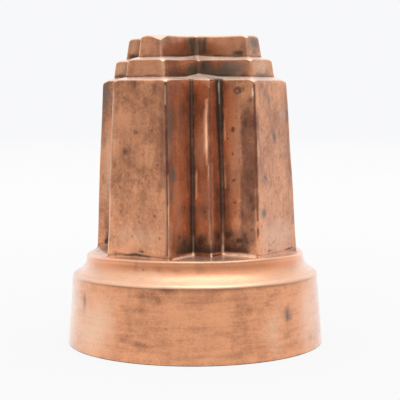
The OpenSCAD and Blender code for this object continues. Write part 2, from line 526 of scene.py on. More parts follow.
def make_skin(sizes, inside, rings):
    """All rings of the sheet's outer face, or of the inner face one sheet inside it."""
    s = sizes
    t = s.sheet if inside else 0.0
    corners, tier_corners = CORNER_RADII[inside]
    bends = [max(b - t, 0.6 * MM) for b in (s.body_bend, s.lower_bend, s.upper_bend)]
    ledge, body_top, lower_top, upper_top = levels(s)
    foot = Plan(*s.body_foot, *corners).inset(t)
    top = Plan(*s.body_top, *corners).inset(t)
    skin = Skin(foot.outline())
    rim_top = flare_rim(skin, s, t, inside, rings["rim"])
    brim_radius = hollow_shoulder(skin, s, t, rim_top, rings["shoulder"])
    lay_ledge(skin, foot, s.foot_fillet, brim_radius, ledge - t, rings["ledge"])
    rise_tier(skin, foot, top, ledge - t + s.foot_fillet, body_top - t, bends[0], s.step_slope,
              rings["body"], BODY_FOOT_DARKENING)

    above_step, outside_foot = TIER_FILLET
    last, brow = top, body_top - t - bends[0] * (1 - math.cos(s.step_slope))
    tiers = ((s.lower_foot, s.lower_top, lower_top), (s.upper_foot, s.upper_top, upper_top))
    for number, (tier_foot, tier_top, height) in enumerate(tiers):
        arris, valley = tier_corners[0], tier_corners[1] * (1.0 + VALLEY_GROWTH * number)
        next_foot = Plan(*tier_foot, 0.0, arris, valley).inset(t)
        next_top = Plan(*tier_top, 0.0, arris, valley).inset(t)
        brow_plan = last.inset(bends[number] * (1 - math.sin(s.step_slope)))
        feet = cross_step(skin, brow_plan, next_foot.inset(-outside_foot), brow, s, rings["step"])
        slope = 0.0 if height == upper_top else s.step_slope
        bend_out = bends[number + 1]
        rise_tier(skin, next_foot, next_top, feet + above_step, height - t, bend_out, slope,
                  rings["tier"], TIER_FOOT_DARKENING)
        last, brow = next_top, height - t - bend_out * (1 - math.cos(slope))

    cap = last.inset(bend_out)
    for u in np.linspace(0.0, 1.0, rings["cap"])[1:]:
        plan = Plan(cap.span - cap.width * u, cap.width * (1 - u), 0.0,
                    cap.arris * (1 - u), cap.valley * (1 - u))
        skin.add(plan.outline(), brow, edge=0.3)
    return skin


def crush(points, sizes, inside):
    """Pushes the upper corner at the end of the -Y arm down to a plane, with a soft fold."""
    s = sizes
    fold = 0.12 * MM
    bulge_out, bulge_down, bulge_in = 0.35 * MM, 1.6 * MM, 2.0 * MM
    corner = np.array([s.upper_top[1], -s.upper_top[0]])
    across = (corner[0] - points[:, 0]) / s.crush_across
    along = (points[:, 1] - corner[1]) / s.crush_along
    struck = across + along < 1.0
    level = levels(s)[-1] - s.crush_depth * (1 - across - along)
    if inside:
        level = level - s.sheet
    over = np.where(struck, points[:, 2] - level, -1.0)
    lowered = points[:, 2] - fold * np.log1p(np.exp(np.clip(over / fold, -40, 40)))
    moved = points.copy()
    moved[:, 2] = np.where(over > -6 * fold, lowered, points[:, 2])
    bulge = bulge_out * np.exp(-((np.clip(-over, 0, None) / bulge_down) ** 2)) * struck
    near_end = np.exp(-((points[:, 1] - corner[1]) / bulge_in) ** 2)
    moved[:, 1] -= bulge * smooth(1.0, 0.0, across + along) * near_end
    return moved


def wear_corners(points, sizes):
    """Wears the arms' upper corners down, and draws the top up at its valleys."""
    s = sizes
    reach_around, reach_down, valley_reach = 1.8 * MM, 1.6 * MM, 7 * MM
    folded = np.abs(points[:, :2])
    height = points[:, 2]
    moved = points.copy()
    tips = (s.body_top, s.lower_top, s.upper_top)
    for tip, level, worn in zip(tips, levels(s)[1:], s.worn_corner):
        gaps = [np.linalg.norm(folded - np.array(corner), axis=1)
                for corner in ((tip[0], tip[1]), (tip[1], tip[0]))]
        near = np.exp(-((np.min(gaps, axis=0) / reach_around) ** 2))
        low = np.exp(-(((level - height) / reach_down) ** 2))
        moved[:, 2] -= worn * near * low
    top = levels(s)[-1]
    from_valley = np.linalg.norm(folded - s.upper_top[1], axis=1)
    near_top = smooth(top - 4 * MM, top - 0.5 * MM, height)
    moved[:, 2] += s.drawn_top * np.exp(-((from_valley / valley_reach) ** 2)) * near_top
    return moved


def risen(sizes, z):
    """How far up the body each height is, from 0 at the ledge to 1 at the upper edges."""
    return np.clip((z - levels(sizes)[0]) / sizes.body_height, 0.0, 1.0)


def below_tiers(sizes, z):
    """1 on the body and below it, and 0 on the tiers."""
    body_top = levels(sizes)[1]
    return 1 - smooth(body_top + 1 * MM, body_top + 6 * MM, z)


def beat_ridge(moved, x, y, z, sizes):
    """Beats the -Y face of the ridge towards +X and -Y in at its top."""
    s = sizes
    rise = risen(s, z)
    span, width, ridge = (low * (1 - rise) + high * rise
                          for low, high in zip(s.body_foot, s.body_top))
    tent = np.minimum((-y - width) / (ridge - width), (span + y) / (span - ridge))
    moved[:, 1] += s.pulled_ridge * rise * below_tiers(s, z) * np.clip(tent, 0.0, 1.0) * (x > 0)


def draw_arms(moved, x, y, z, sizes):
    """Draws out the arms along X, most of all the tiers' -X arms, and the -Y arm's left side."""
    s = sizes
    root, end, half_arm = 25 * MM, 38 * MM, 20 * MM
    body_top = levels(s)[1]
    rise = risen(s, z)
    outward = smooth(root, end, np.abs(x)) * np.sign(x) * (np.abs(y) < half_arm)
    on_tiers = smooth(body_top - 2 * MM, body_top + 3 * MM, z) * (x < 0)
    drawn = s.drawn_arm + (s.drawn_tier - s.drawn_arm) * on_tiers
    moved[:, 0] += outward * drawn * smooth(0.05, 0.5, rise)
    left_side = smooth(1 * MM, 5 * MM, -x)
    along_arm = smooth(20 * MM, 36 * MM, -y)
    moved[:, 0] -= s.wide_arm * smooth(0.0, 1.0, rise) * (left_side * along_arm)


def roll_ends(moved, x, y, z, sizes):
    """Rolls the body's upper edge in at the ends of three arms."""
    s = sizes
    deep = 3.2 * MM
    inner, end = 41 * MM, 44.5 * MM
    body_top = levels(s)[1]
    roll = np.clip((z - body_top + deep) / deep, 0.0, 1.0) ** 2 * below_tiers(s, z)
    for (out_x, out_y), by in zip(((-1, 0), (1, 0), (0, -1)), s.rolled_end):
        at_end = smooth(inner, end, x * out_x + y * out_y)
        moved[:, 0] -= out_x * by * roll * at_end
        moved[:, 1] -= out_y * by * roll * at_end


def sink_shoulder(moved, x, y, z, sizes):
    """Sinks the shoulder and the ledge's edge at two opposite sides of the mould."""
    s = sizes
    fade = math.radians(40)
    arm_end, ledge_end = 48.5 * MM, 53.5 * MM
    ledge = levels(s)[0]
    radius = np.hypot(x, y)
    on_shoulder = smooth(arm_end, ledge_end, radius)
    on_shoulder *= smooth(s.rim_height - 8 * MM, s.rim_height + 7 * MM, z)
    on_shoulder *= 1 - smooth(ledge - 0.2 * MM, ledge + 2.3 * MM, z)
    for sign, by in zip((-1, 1), s.sunken_sides):
        toward = sign * (PHOTO_RIGHT[0] * x + PHOTO_RIGHT[1] * y) / np.maximum(radius, MM)
        away = np.arccos(np.clip(toward, -1, 1))
        moved[:, 2] -= by * on_shoulder * np.exp(-((away / fade) ** 2))


def lean_over(moved, x, y, z, sizes):
    """Leans all above the rim to one side, the further up the more."""
    top = levels(sizes)[-1]
    leaning = np.clip((z - sizes.rim_height) / (top - sizes.rim_height), 0.0, 1.0)
    moved[:, :2] += leaning[:, None] * np.array(sizes.lean)


def knocked(points, sizes):
    """The points after all that use has done to the body and the shoulder."""
    moved = points.copy()
    for knock in (beat_ridge, draw_arms, roll_ends, sink_shoulder, lean_over):
        knock(moved, *points.T, sizes)
    return moved


def unevenness(points, amplitude):
    """A smooth random drift of every point, as hammering leaves the sheet."""
    broad_size, fine_size, fine_share = 24 * MM, 9 * MM, 0.3
    broad_start, fine_start = Vector((3.1, 7.7, 1.3)), Vector((11.0, 2.5, 5.9))
    drift = np.empty_like(points)
    for i, point in enumerate(points):
        place = Vector(point)
        broad = noise.noise_vector(place / broad_size + broad_start)
        fine = noise.noise_vector(place / fine_size + fine_start)
        drift[i] = Vector(broad) * amplitude + Vector(fine) * (amplitude * fine_share)
    settle = smooth(0.0, 8 * MM, points[:, 2])
    drift[:, 2] *= settle
    drift[:, :2] *= (0.25 + 0.75 * settle)[:, None]
    return drift


def mesh_from_skin(name, skin, inside):
    """One mesh of all rings of a skin, facing out of the sheet."""
    across = len(skin.rings[0])
    faces = []
    for ring in range(len(skin.rings) - 1):
        low = ring * across
        for j in range(across):
            k = (j + 1) % across
            face = (low + j, low + k, low + across + k, low + across + j)
            faces.append(face[::-1] if inside else face)
    mesh = bpy.data.meshes.new(name)
    mesh.from_pydata(np.vstack(skin.rings).tolist(), [], faces)
    mesh.polygons.foreach_set("use_smooth", [True] * len(faces))
    marks = {mark: np.concatenate(kept) for mark, kept in skin.marks.items()}
    for mark, values in (marks | skin.tones).items():
        attribute = mesh.attributes.new(mark, "FLOAT", "POINT")
        attribute.data.foreach_set("value", values.astype(np.float32))
    return mesh


def close_seams(mesh):
    """Joins the points that meet along the middle of each cap."""
    work = bmesh.new()
    work.from_mesh(mesh)
    bmesh.ops.remove_doubles(work, verts=work.verts, dist=MEETING)
    bmesh.ops.dissolve_degenerate(work, edges=work.edges, dist=MEETING / 2)
    work.to_mesh(mesh)
    work.free()
    mesh.validate()


# Seeds of the unevenness and the stains' outlines, and of the strewn marks, the same each run
HAMMERING_SEED = 1
STREWING_SEED = 11
# Share of the marks that is strewn again over each of the other sides, how far up or down they
# stray in mm, and the least and most that their strength is multiplied by
STREWN_SHARE = 0.65
STREWN_STRAY = 4.0
STREWN_STRENGTH = (0.4, 1.1)
# Heights in mm between which a mark strays, and the height of a mark from which on it doesn't
STRAY_HEIGHTS = (53.0, 128.0)
TALL_MARK = 6.0
# Size of the waves in the outlines of the stains, in mm, and how far they move the outline of a
# stain, a patch and a line, as a share of its reach
STAIN_WAVES = 5.0
STAIN_WANDER = 0.55
PATCH_WANDER = 0.15
LINE_WANDER = 0.3

# The tones of tarnish, dirt and wear, and of painted highlights and painted shade, which the finish
# reads from the points of the mesh
TONES = ("brown", "umber", "slate", "olive", "soot", "orange", "satin", "pale", "worn",
         "seam", "shine", "gleam", "glare")

# Soft stains, wear and dirt by tone, with painted highlights and painted shade among them: the
# place, the reach along X, Y and Z, and the strength
STAINS = {
    "brown": [
        (7.5, -46.3, 118.0, 5.0, 2.0, 14.0, 0.45),
        (10.0, -46.8, 104.0, 4.0, 2.0, 9.0, 0.5),
        (-11.0, -46.8, 108.0, 6.0, 2.0, 22.0, -0.55),
        (-40.5, -16.8, 100.0, 4.0, 2.0, 24.0, -0.5),
        (-38.6, -10.7, 138.5, 4.0, 2.0, 4.5, -0.8),
        (-33.5, -6.6, 150.0, 3.0, 1.6, 5.0, -0.8),
        (38.0, -50.0, 32.6, 12.0, 10.0, 3.4, 0.55),
        (50.0, -37.5, 31.5, 8.0, 10.0, 3.2, 0.5),
        (58.5, -22.5, 30.0, 4.0, 8.0, 4.0, 0.5),
        (-2.5, -47.9, 83.2, 3.5, 2.0, 3.0, 0.6),
        (6.9, -47.9, 82.6, 2.0, 2.0, 2.0, 0.6),
        (-12.6, -47.9, 84.0, 2.2, 2.0, 4.0, 0.5),
        (-13.7, -48.6, 65.3, 1.3, 2.0, 1.4, 0.7),
        (-10.0, -48.6, 62.6, 3.4, 2.0, 0.9, 0.6),
        (-30.2, -35.6, 47.7, 4.0, 4.0, 1.0, 0.8),
        (10.9, -62.0, 25.6, 4.5, 4.0, 3.2, 0.5),
        (12.1, -61.2, 32.2, 4.5, 4.0, 3.6, 0.5),
        (23.3, -57.6, 34.6, 4.5, 4.0, 2.2, 0.7),
        (2.8, -63.9, 11.8, 3.5, 3.0, 2.5, 0.5),
        (10.5, -63.3, 8.8, 6.0, 4.0, 2.6, 0.6),
        (36.3, -52.2, 16.3, 5.0, 5.0, 2.4, 0.4),
        (52.0, -37.0, 26.0, 4.0, 5.0, 11.0, 0.35),
        (57.5, -29.0, 27.0, 3.0, 4.0, 9.0, 0.3),
        (5.0, -63.0, 20.0, 2.5, 4.0, 16.0, 0.3),
        (51.0, -38.1, 18.0, 5.5, 6.5, 26.0, 0.35),
        (35.0, -51.9, 29.2, 9.0, 6.0, 2.6, 0.6),
        (15.7, -60.6, 31.0, 7.0, 4.0, 4.0, 0.6),
        (26.0, -26.0, 90.0, 2.0, 8.0, 40.0, 0.25),
    ],
    "umber": [
        (15.3, -38.0, 113.0, 2.0, 8.0, 9.0, 0.5),
        (16.0, -37.0, 98.0, 2.0, 4.0, 8.0, 0.3),
        (23.7, -27.8, 69.9, 2.6, 1.6, 4.0, 0.5),
        (-3.0, -52.0, 47.9, 14.0, 3.0, 1.2, 0.55),
        (24.0, -33.0, 47.6, 14.0, 10.0, 1.0, 0.4),
        (4.0, -55.0, 44.5, 1.6, 3.0, 3.0, 0.35),
        (15.0, -54.0, 44.0, 2.4, 3.0, 2.4, 0.4),
        (33.0, -45.0, 44.5, 3.0, 3.0, 2.6, 0.35),
        (53.0, -12.0, 47.6, 4.0, 8.0, 1.2, 0.35),
        (5.4, -31.0, 151.0, 1.4, 6.0, 3.4, 0.5),
        (9.6, -34.0, 140.8, 1.4, 9.0, 2.6, 0.5),
        (20.0, -6.4, 147.5, 12.0, 1.6, 3.5, 0.45),
        (-4.8, -45.8, 130.0, 1.8, 2.0, 4.0, 0.55),
        (8.6, -45.8, 128.8, 2.2, 2.0, 4.5, 0.7),
        (3.0, -46.1, 121.8, 2.3, 2.0, 2.6, 0.5),
        (4.6, -46.8, 105.6, 4.0, 2.0, 4.0, 0.5),
        (-8.3, -47.2, 98.3, 1.9, 2.0, 2.2, 0.9),
        (-6.0, -47.2, 100.0, 3.5, 2.0, 3.0, 0.3),
        (-13.9, -48.2, 76.5, 1.6, 2.0, 1.8, 0.45),
        (13.6, -46.6, 107.0, 1.8, 2.5, 25.0, 0.5),
        (15.0, -31.8, 118.8, 1.8, 2.2, 4.0, 0.55),
        (21.0, -25.2, 116.4, 1.8, 1.6, 2.4, 0.8),
        (22.3, -25.6, 108.2, 1.4, 1.6, 1.8, 0.6),
        (25.8, -17.7, 108.0, 1.5, 2.2, 17.0, 0.7),
        (35.4, -15.7, 127.3, 2.4, 1.8, 2.6, 0.35),
        (38.4, -15.6, 128.3, 1.6, 1.8, 2.2, 0.7),
        (42.7, -15.8, 122.8, 1.8, 1.8, 2.0, 0.75),
        (41.0, -15.8, 119.0, 4.0, 2.0, 4.0, 0.35),
        (31.3, -17.4, 80.6, 0.9, 1.6, 3.0, 0.4),
        (46.1, 10.2, 106.1, 1.3, 0.8, 3.4, 0.4),
        (57.7, -24.9, 27.4, 2.0, 2.0, 1.0, 0.4),
        (23.0, -50.7, 43.1, 3.5, 3.0, 0.9, 0.4),
        (3.2, -36.3, 149.9, 1.6, 1.5, 1.3, 0.35),
        (5.3, -25.0, 149.0, 1.6, 10.0, 6.0, 0.5),
        (26.0, -10.7, 138.4, 15.0, 1.8, 5.0, 0.7),
        (9.7, -27.0, 137.5, 1.8, 8.0, 4.0, 0.45),
        (9.7, -35.0, 135.6, 1.8, 5.0, 1.8, 0.8),
        (14.0, -6.5, 147.8, 4.0, 1.6, 5.0, 0.5),
        (33.0, -6.4, 149.5, 3.0, 1.5, 3.5, 0.4),
        (20.0, -26.6, 60.0, 4.0, 2.0, 8.0, 0.3),
    ],
    "slate": [
        (22.0, -27.0, 70.0, 5.0, 1.8, 22.0, 0.3),
        (-43.6, -15.9, 125.0, 3.2, 2.2, 9.0, 0.75),
        (-45.6, -16.0, 114.0, 1.4, 2.2, 18.0, 0.6),
        (15.4, -43.8, 111.0, 1.8, 2.2, 12.0, 0.95),
        (15.2, -44.0, 124.0, 1.8, 1.8, 10.0, 0.6),
        (15.9, -44.8, 98.0, 1.6, 1.5, 10.0, 0.4),
        (16.4, -42.8, 88.0, 1.8, 2.4, 4.0, 1.1),
        (17.0, -44.4, 78.0, 1.8, 2.0, 5.0, 0.9),
        (14.6, -35.3, 128.0, 1.8, 7.0, 4.0, 0.35),
        (45.1, -6.6, 125.4, 1.8, 2.0, 2.2, 0.55),
        (45.2, -2.9, 122.8, 1.8, 3.2, 3.0, 0.5),
        (46.1, 0.3, 104.5, 1.8, 2.2, 3.4, 1.1),
        (46.1, -2.0, 107.8, 1.8, 2.4, 3.4, 0.7),
        (46.3, 4.9, 100.9, 1.8, 3.0, 2.5, 0.4),
        (45.2, 12.0, 121.0, 1.8, 2.0, 7.0, 0.15),
        (47.1, -9.8, 85.6, 1.8, 3.4, 3.0, 0.45),
        (48.1, -12.6, 68.4, 1.8, 2.9, 3.0, 1.15),
        (48.3, 15.6, 62.6, 1.8, 1.0, 4.0, 0.6),
        (-26.4, -57.2, 25.8, 2.2, 3.0, 5.0, 0.75),
        (61.9, -13.3, 20.8, 3.0, 2.6, 4.4, 1.1),
        (62.3, -14.8, 10.9, 2.0, 1.6, 2.0, 0.6),
        (64.2, 5.6, 6.7, 2.0, 3.0, 2.2, 0.6),
        (10.6, -6.4, 150.6, 2.6, 1.5, 6.0, 0.6),
        (30.0, -10.7, 138.6, 9.0, 1.8, 3.6, 0.75),
        (15.4, -10.7, 137.6, 4.0, 1.8, 5.0, 0.7),
        (9.7, -34.0, 136.4, 1.8, 5.0, 2.6, 0.5),
        (8.9, -6.5, 149.0, 3.0, 1.6, 6.0, 0.5),
        (34.9, 1.0, 150.0, 1.8, 7.5, 5.0, 0.9),
        (35.7, -1.3, 145.8, 1.8, 3.0, 1.8, 0.9),
        (40.8, -2.0, 134.6, 1.8, 9.0, 1.5, 0.9),
        (40.4, 3.3, 136.6, 1.4, 1.2, 2.4, 0.7),
    ],
    "olive": [
        (5.1, -10.4, 149.6, 1.8, 3.2, 6.0, 1.1),
        (5.2, -7.6, 150.5, 1.5, 1.2, 6.0, 0.9),
        (7.0, -6.4, 149.5, 1.6, 1.6, 6.0, 0.7),
        (9.8, -17.0, 137.7, 1.8, 5.0, 3.0, 1.05),
        (13.5, -10.9, 138.4, 4.5, 1.6, 5.0, 1.1),
        (19.9, -11.0, 136.2, 5.0, 1.6, 1.6, 0.9),
        (23.5, -11.0, 136.0, 12.5, 1.6, 2.6, 0.95),
        (5.2, -9.0, 148.0, 1.4, 2.0, 6.0, 0.5),
        (36.0, -18.0, 57.0, 5.0, 1.6, 4.0, 0.3),
    ],
    "soot": [
        (10.4, -6.4, 149.5, 2.0, 1.6, 5.5, 0.7),
        (18.0, -6.6, 144.4, 10.0, 1.6, 0.8, 0.8),
        (5.8, -26.0, 144.4, 1.6, 9.0, 0.8, 0.8),
        (12.6, -10.9, 139.5, 2.2, 1.6, 3.2, 0.6),
        (5.2, -9.6, 149.0, 1.5, 1.6, 6.0, 0.6),
        (9.8, -13.5, 137.6, 1.5, 1.8, 3.6, 0.6),
        (18.0, -36.0, 54.0, 1.4, 5.0, 4.0, 0.9),
        (23.0, -28.8, 55.5, 4.6, 1.4, 5.0, 0.85),
        (28.6, -23.0, 54.5, 1.4, 3.6, 6.0, 0.8),
        (30.8, -18.2, 56.5, 2.4, 1.4, 6.0, 0.8),
        (37.8, -18.1, 54.8, 2.2, 1.4, 1.8, 0.9),
        # A painted shadow line at the foot of the -Y arm's end
        (-2.0, -49.2, 48.9, 15.0, 1.6, 1.0, 0.95),
        (2.3, -49.2, 50.9, 2.2, 1.6, 0.9, 0.8),
        (1.1, -49.2, 52.2, 1.0, 1.6, 0.7, 0.6),
        (-43.6, -18.3, 49.6, 2.0, 1.8, 2.2, 0.95),
        (44.4, -17.5, 75.6, 1.5, 1.6, 4.2, 0.6),
        (45.6, -17.6, 71.1, 1.3, 1.6, 2.2, 0.6),
        (37.8, -18.2, 55.6, 2.6, 1.6, 2.2, 0.9),
        (33.2, -18.0, 58.6, 2.4, 1.6, 3.4, 0.75),
        (48.0, -17.8, 60.0, 0.8, 0.8, 4.4, 0.8),
        (49.0, -8.3, 50.1, 1.6, 2.4, 0.7, 0.8),
        (49.1, 10.0, 48.9, 1.6, 6.5, 0.7, 0.8),
        (-33.9, -6.7, 145.1, 5.0, 1.6, 1.8, 0.9),
        (-39.0, -11.2, 135.0, 5.0, 1.6, 1.0, 0.8),
        (3.5, -41.6, 134.6, 8.0, 1.6, 0.7, 0.8),
        (30.4, -6.8, 145.6, 4.5, 1.6, 1.5, 0.9),
        (10.0, -26.8, 135.0, 1.6, 8.0, 1.1, 0.8),
        (11.0, -6.6, 146.5, 5.0, 1.6, 2.0, 0.7),
        (24.0, -11.2, 134.8, 12.0, 1.6, 0.8, 0.7),
    ],
    "orange": [
        (31.5, -16.0, 115.0, 4.5, 2.0, 12.0, 0.5),
        (20.6, -27.3, 75.5, 1.5, 1.8, 3.2, 0.9),
        (28.7, -15.9, 122.1, 0.8, 1.8, 1.3, 0.8),
        (28.6, -16.2, 109.0, 0.8, 1.6, 5.0, 0.8),
        (9.5, -22.6, 139.6, 1.6, 6.0, 0.8, 0.7),
        (23.0, -6.4, 149.0, 6.0, 1.6, 4.0, 0.5),
        (39.4, -10.7, 138.0, 1.6, 1.8, 4.0, 0.5),
        (48.4, -18.0, 52.6, 0.9, 1.0, 4.4, 0.6),
        (32.0, -16.4, 100.0, 3.0, 1.6, 26.0, 0.45),
    ],
    "satin": [
        (15.9, -45.4, 99.0, 1.6, 1.6, 5.0, 0.8),
        (17.6, -46.4, 60.0, 1.4, 2.6, 8.0, 0.9),
        (17.6, -42.5, 58.5, 1.4, 2.0, 6.0, 0.5),
        (21.0, -26.1, 98.0, 4.5, 2.4, 11.0, 1.0),
        (22.4, -25.6, 104.0, 4.5, 2.4, 13.0, 0.7),
        (23.5, -27.6, 74.0, 5.0, 2.4, 18.0, 0.4),
        (16.9, -40.5, 72.0, 1.8, 4.5, 20.0, 0.75),
        (15.6, -36.5, 110.0, 1.8, 6.0, 26.0, 0.35),
        (33.5, -16.4, 96.0, 5.5, 2.0, 34.0, 0.45),
        (24.6, -22.0, 100.0, 2.2, 4.0, 40.0, 0.2),
        (9.8, -22.0, 140.0, 1.6, 10.0, 3.0, 0.5),
        (22.0, -6.3, 149.0, 9.0, 1.6, 4.0, 0.4),
        (0.0, -40.9, 138.0, 8.0, 1.6, 5.0, 0.4),
        (0.0, -36.0, 149.0, 5.0, 1.6, 5.0, 0.4),
    ],
    "pale": [
        # A painted highlight across the front of the shoulder
        (15.0, -58.0, 39.5, 26.0, 12.0, 3.6, 0.5),
        # Painted glints on the arrises
        (19.6, -26.8, 85.6, 0.6, 1.5, 0.7, 0.9),
        (19.8, -27.1, 80.3, 0.6, 1.5, 0.7, 0.9),
        (43.9, -15.7, 125.9, 0.7, 1.3, 2.6, 0.95),
        # Painted reflections paling the rim's two sides
        (-9.1, -63.1, 16.2, 8.0, 6.0, 14.0, 0.35),
        (-24.0, -60.0, 12.0, 9.0, 7.0, 14.0, 0.45),
        (-40.0, -50.0, 20.0, 12.0, 12.0, 22.0, 0.5),
        (58.0, -24.0, 14.0, 4.0, 6.0, 10.0, 0.3),
        (62.5, 5.0, 18.0, 6.0, 12.0, 20.0, 0.45),
        (60.9, -21.0, 13.0, 4.0, 4.0, 16.0, 0.2),
        (-16.1, -62.0, 14.0, 8.0, 6.0, 18.0, 0.45),
        (48.8, 0.0, 57.0, 2.2, 17.0, 9.0, 0.35),
        (0.0, -48.8, 58.0, 16.0, 2.2, 6.0, 0.2),
        (46.0, 9.0, 116.0, 2.0, 3.5, 6.0, 0.25),
        (-38.6, -10.7, 138.5, 4.0, 2.0, 3.5, 0.35),
        (-33.5, -6.6, 150.5, 3.0, 1.6, 3.6, 0.15),
        (-42.5, -17.0, 88.0, 4.0, 2.0, 24.0, 0.3),
        (40.1, -1.0, 139.0, 1.8, 8.0, 3.6, 0.4),
    ],
    "worn": [
        # Worn copper; at the top of the -Y arm's right arris also a painted highlight
        (14.6, -45.3, 127.0, 1.2, 1.4, 7.5, 0.4),
        (28.0, -28.0, 62.0, 1.6, 1.6, 12.0, 0.6),
        (48.4, -18.2, 52.6, 1.5, 1.5, 4.4, 0.9),
        (6.2, -36.0, 149.0, 1.6, 1.6, 6.0, 0.8),
        (10.0, -41.0, 139.0, 1.6, 1.6, 5.5, 0.8),
        (35.0, -6.0, 149.0, 1.6, 1.6, 6.0, 0.6),
    ],
}

# Stains with straight sides
PATCHES = {
    "umber": [
        (42.5, -16.6, 85.0, 4.2, 2.6, 33.0, 0.6),
        (42.5, -16.6, 97.0, 4.2, 2.6, 20.0, 0.3),
    ],
}

# Wear, dirt, painted highlights and painted shade along a line: both ends of the line, the reach and
# the strength
LINES = {
    "worn": [
        # Worn copper along two arrises of the -Y arm, also painted as their highlight
        ((-18.3, -49.1, 48.0), (-15.6, -45.6, 133.0), 2.2, 1.0),
        ((18.4, -49.0, 50.0), (17.6, -48.3, 74.0), 0.9, 0.7),
    ],
    # Dark lines along the arrises, painted as their dark reflection, and down the valleys
    "seam": [
        ((17.4, -49.3, 50.0), (16.7, -48.3, 75.0), 0.7, 0.8),
        ((17.1, -48.3, 74.0), (14.5, -45.6, 131.0), 1.1, 0.95),
        ((48.0, -17.7, 66.0), (44.6, -15.5, 130.0), 0.6, 0.8),
        ((28.5, -28.3, 56.0), (25.1, -24.4, 128.0), 0.8, 0.75),
        ((18.2, -28.9, 50.0), (16.1, -26.4, 96.0), 1.6, 0.8),
        ((28.0, -17.8, 66.0), (25.9, -16.5, 108.0), 1.6, 0.6),
    ],
    "umber": [
        ((13.6, -47.2, 82.0), (12.6, -46.0, 128.0), 1.6, 0.4),
        ((15.2, -28.5, 128.0), (17.2, -31.0, 60.0), 2.6, 0.5),
        ((15.5, -33.0, 120.0), (16.0, -34.0, 102.0), 3.0, 0.35),
        ((26.3, -20.5, 118.0), (28.2, -22.5, 58.0), 3.0, 0.55),
        ((30.0, -17.6, 90.0), (31.0, -18.0, 58.0), 2.6, 0.5),
    ],
    "slate": [
        ((15.2, -42.4, 128.0), (16.6, -44.5, 84.0), 2.6, 0.4),
    ],
    "orange": [
        ((18.6, -27.2, 89.0), (19.6, -27.9, 72.0), 0.9, 0.9),
        ((28.7, -15.9, 119.0), (29.0, -16.5, 100.0), 0.9, 0.8),
        ((29.2, -16.8, 92.0), (29.6, -17.2, 78.0), 0.7, 0.6),
        ((48.7, -18.2, 50.0), (48.0, -17.6, 62.0), 0.7, 0.7),
    ],
    "soot": [
        ((16.1, -26.4, 96.0), (14.5, -24.5, 133.0), 1.7, 0.9),
        ((25.9, -17.2, 110.0), (24.8, -16.8, 133.0), 3.0, 0.95),
        ((28.0, -18.2, 62.0), (25.9, -17.2, 110.0), 1.9, 0.75),
    ],
    "satin": [
        ((26.3, -25.6, 92.0), (28.6, -28.0, 50.5), 1.3, 0.9),
        ((16.6, -47.3, 84.0), (18.2, -48.4, 50.0), 1.5, 0.7),
    ],
    # Painted highlights from here on: glare, gleam and shine, all of which glow
    "glare": [
        ((24.9, -16.1, 130.5), (25.1, -16.4, 127.0), 0.45, 0.2),
        ((24.8, -16.0, 131.5), (25.3, -16.3, 121.0), 0.5, 0.12),
    ],
    "gleam": [
        ((23.8, -24.6, 123.0), (24.8, -26.0, 92.0), 0.55, 1.0),
        ((23.1, -25.2, 118.0), (24.0, -26.0, 98.0), 0.9, 0.3),
        ((14.3, -45.9, 129.5), (14.6, -46.2, 121.0), 0.5, 0.3),
        ((18.9, -27.0, 88.0), (19.4, -27.4, 76.0), 0.5, 0.4),
        ((28.7, -15.9, 119.0), (28.9, -16.3, 104.0), 0.45, 0.45),
        ((29.2, -16.7, 93.0), (29.5, -17.0, 80.0), 0.4, 0.4),
        ((16.3, -47.0, 88.0), (17.6, -48.0, 64.0), 0.35, 0.35),
        ((46.2, -15.2, 104.0), (46.7, -15.8, 92.0), 0.8, 0.3),
    ],
    "shine": [
        ((24.0, -25.0, 114.5), (24.5, -25.7, 100.0), 0.4, 0.9),
        ((43.9, -15.6, 128.0), (44.1, -15.8, 125.5), 0.55, 0.7),
        ((43.8, -15.6, 131.0), (44.1, -15.8, 123.0), 0.5, 0.06),
        ((25.8, -26.3, 92.0), (27.6, -28.3, 57.0), 0.3, 0.5),
        ((18.5, -28.9, 50.0), (18.3, -28.5, 57.0), 0.6, 0.1),
        ((28.8, -18.8, 50.0), (28.6, -18.5, 58.0), 0.6, 0.13),
        ((28.9, -19.0, 48.6), (28.9, -18.9, 52.0), 0.9, 0.3),
        ((18.9, -46.0, 48.0), (18.9, -29.6, 48.0), 1.0, 0.6),
        ((29.6, -18.8, 48.0), (47.0, -18.8, 48.0), 1.1, 0.75),
        ((29.2, -29.2, 47.9), (28.8, -28.8, 49.0), 0.6, 0.8),
        ((18.7, -29.4, 48.0), (18.4, -29.2, 49.0), 0.6, 0.6),
        ((5.6, -6.0, 145.8), (5.2, -5.6, 152.6), 0.4, 0.14),
        ((9.9, -10.4, 136.0), (9.6, -10.0, 142.0), 0.4, 0.14),
    ],
}

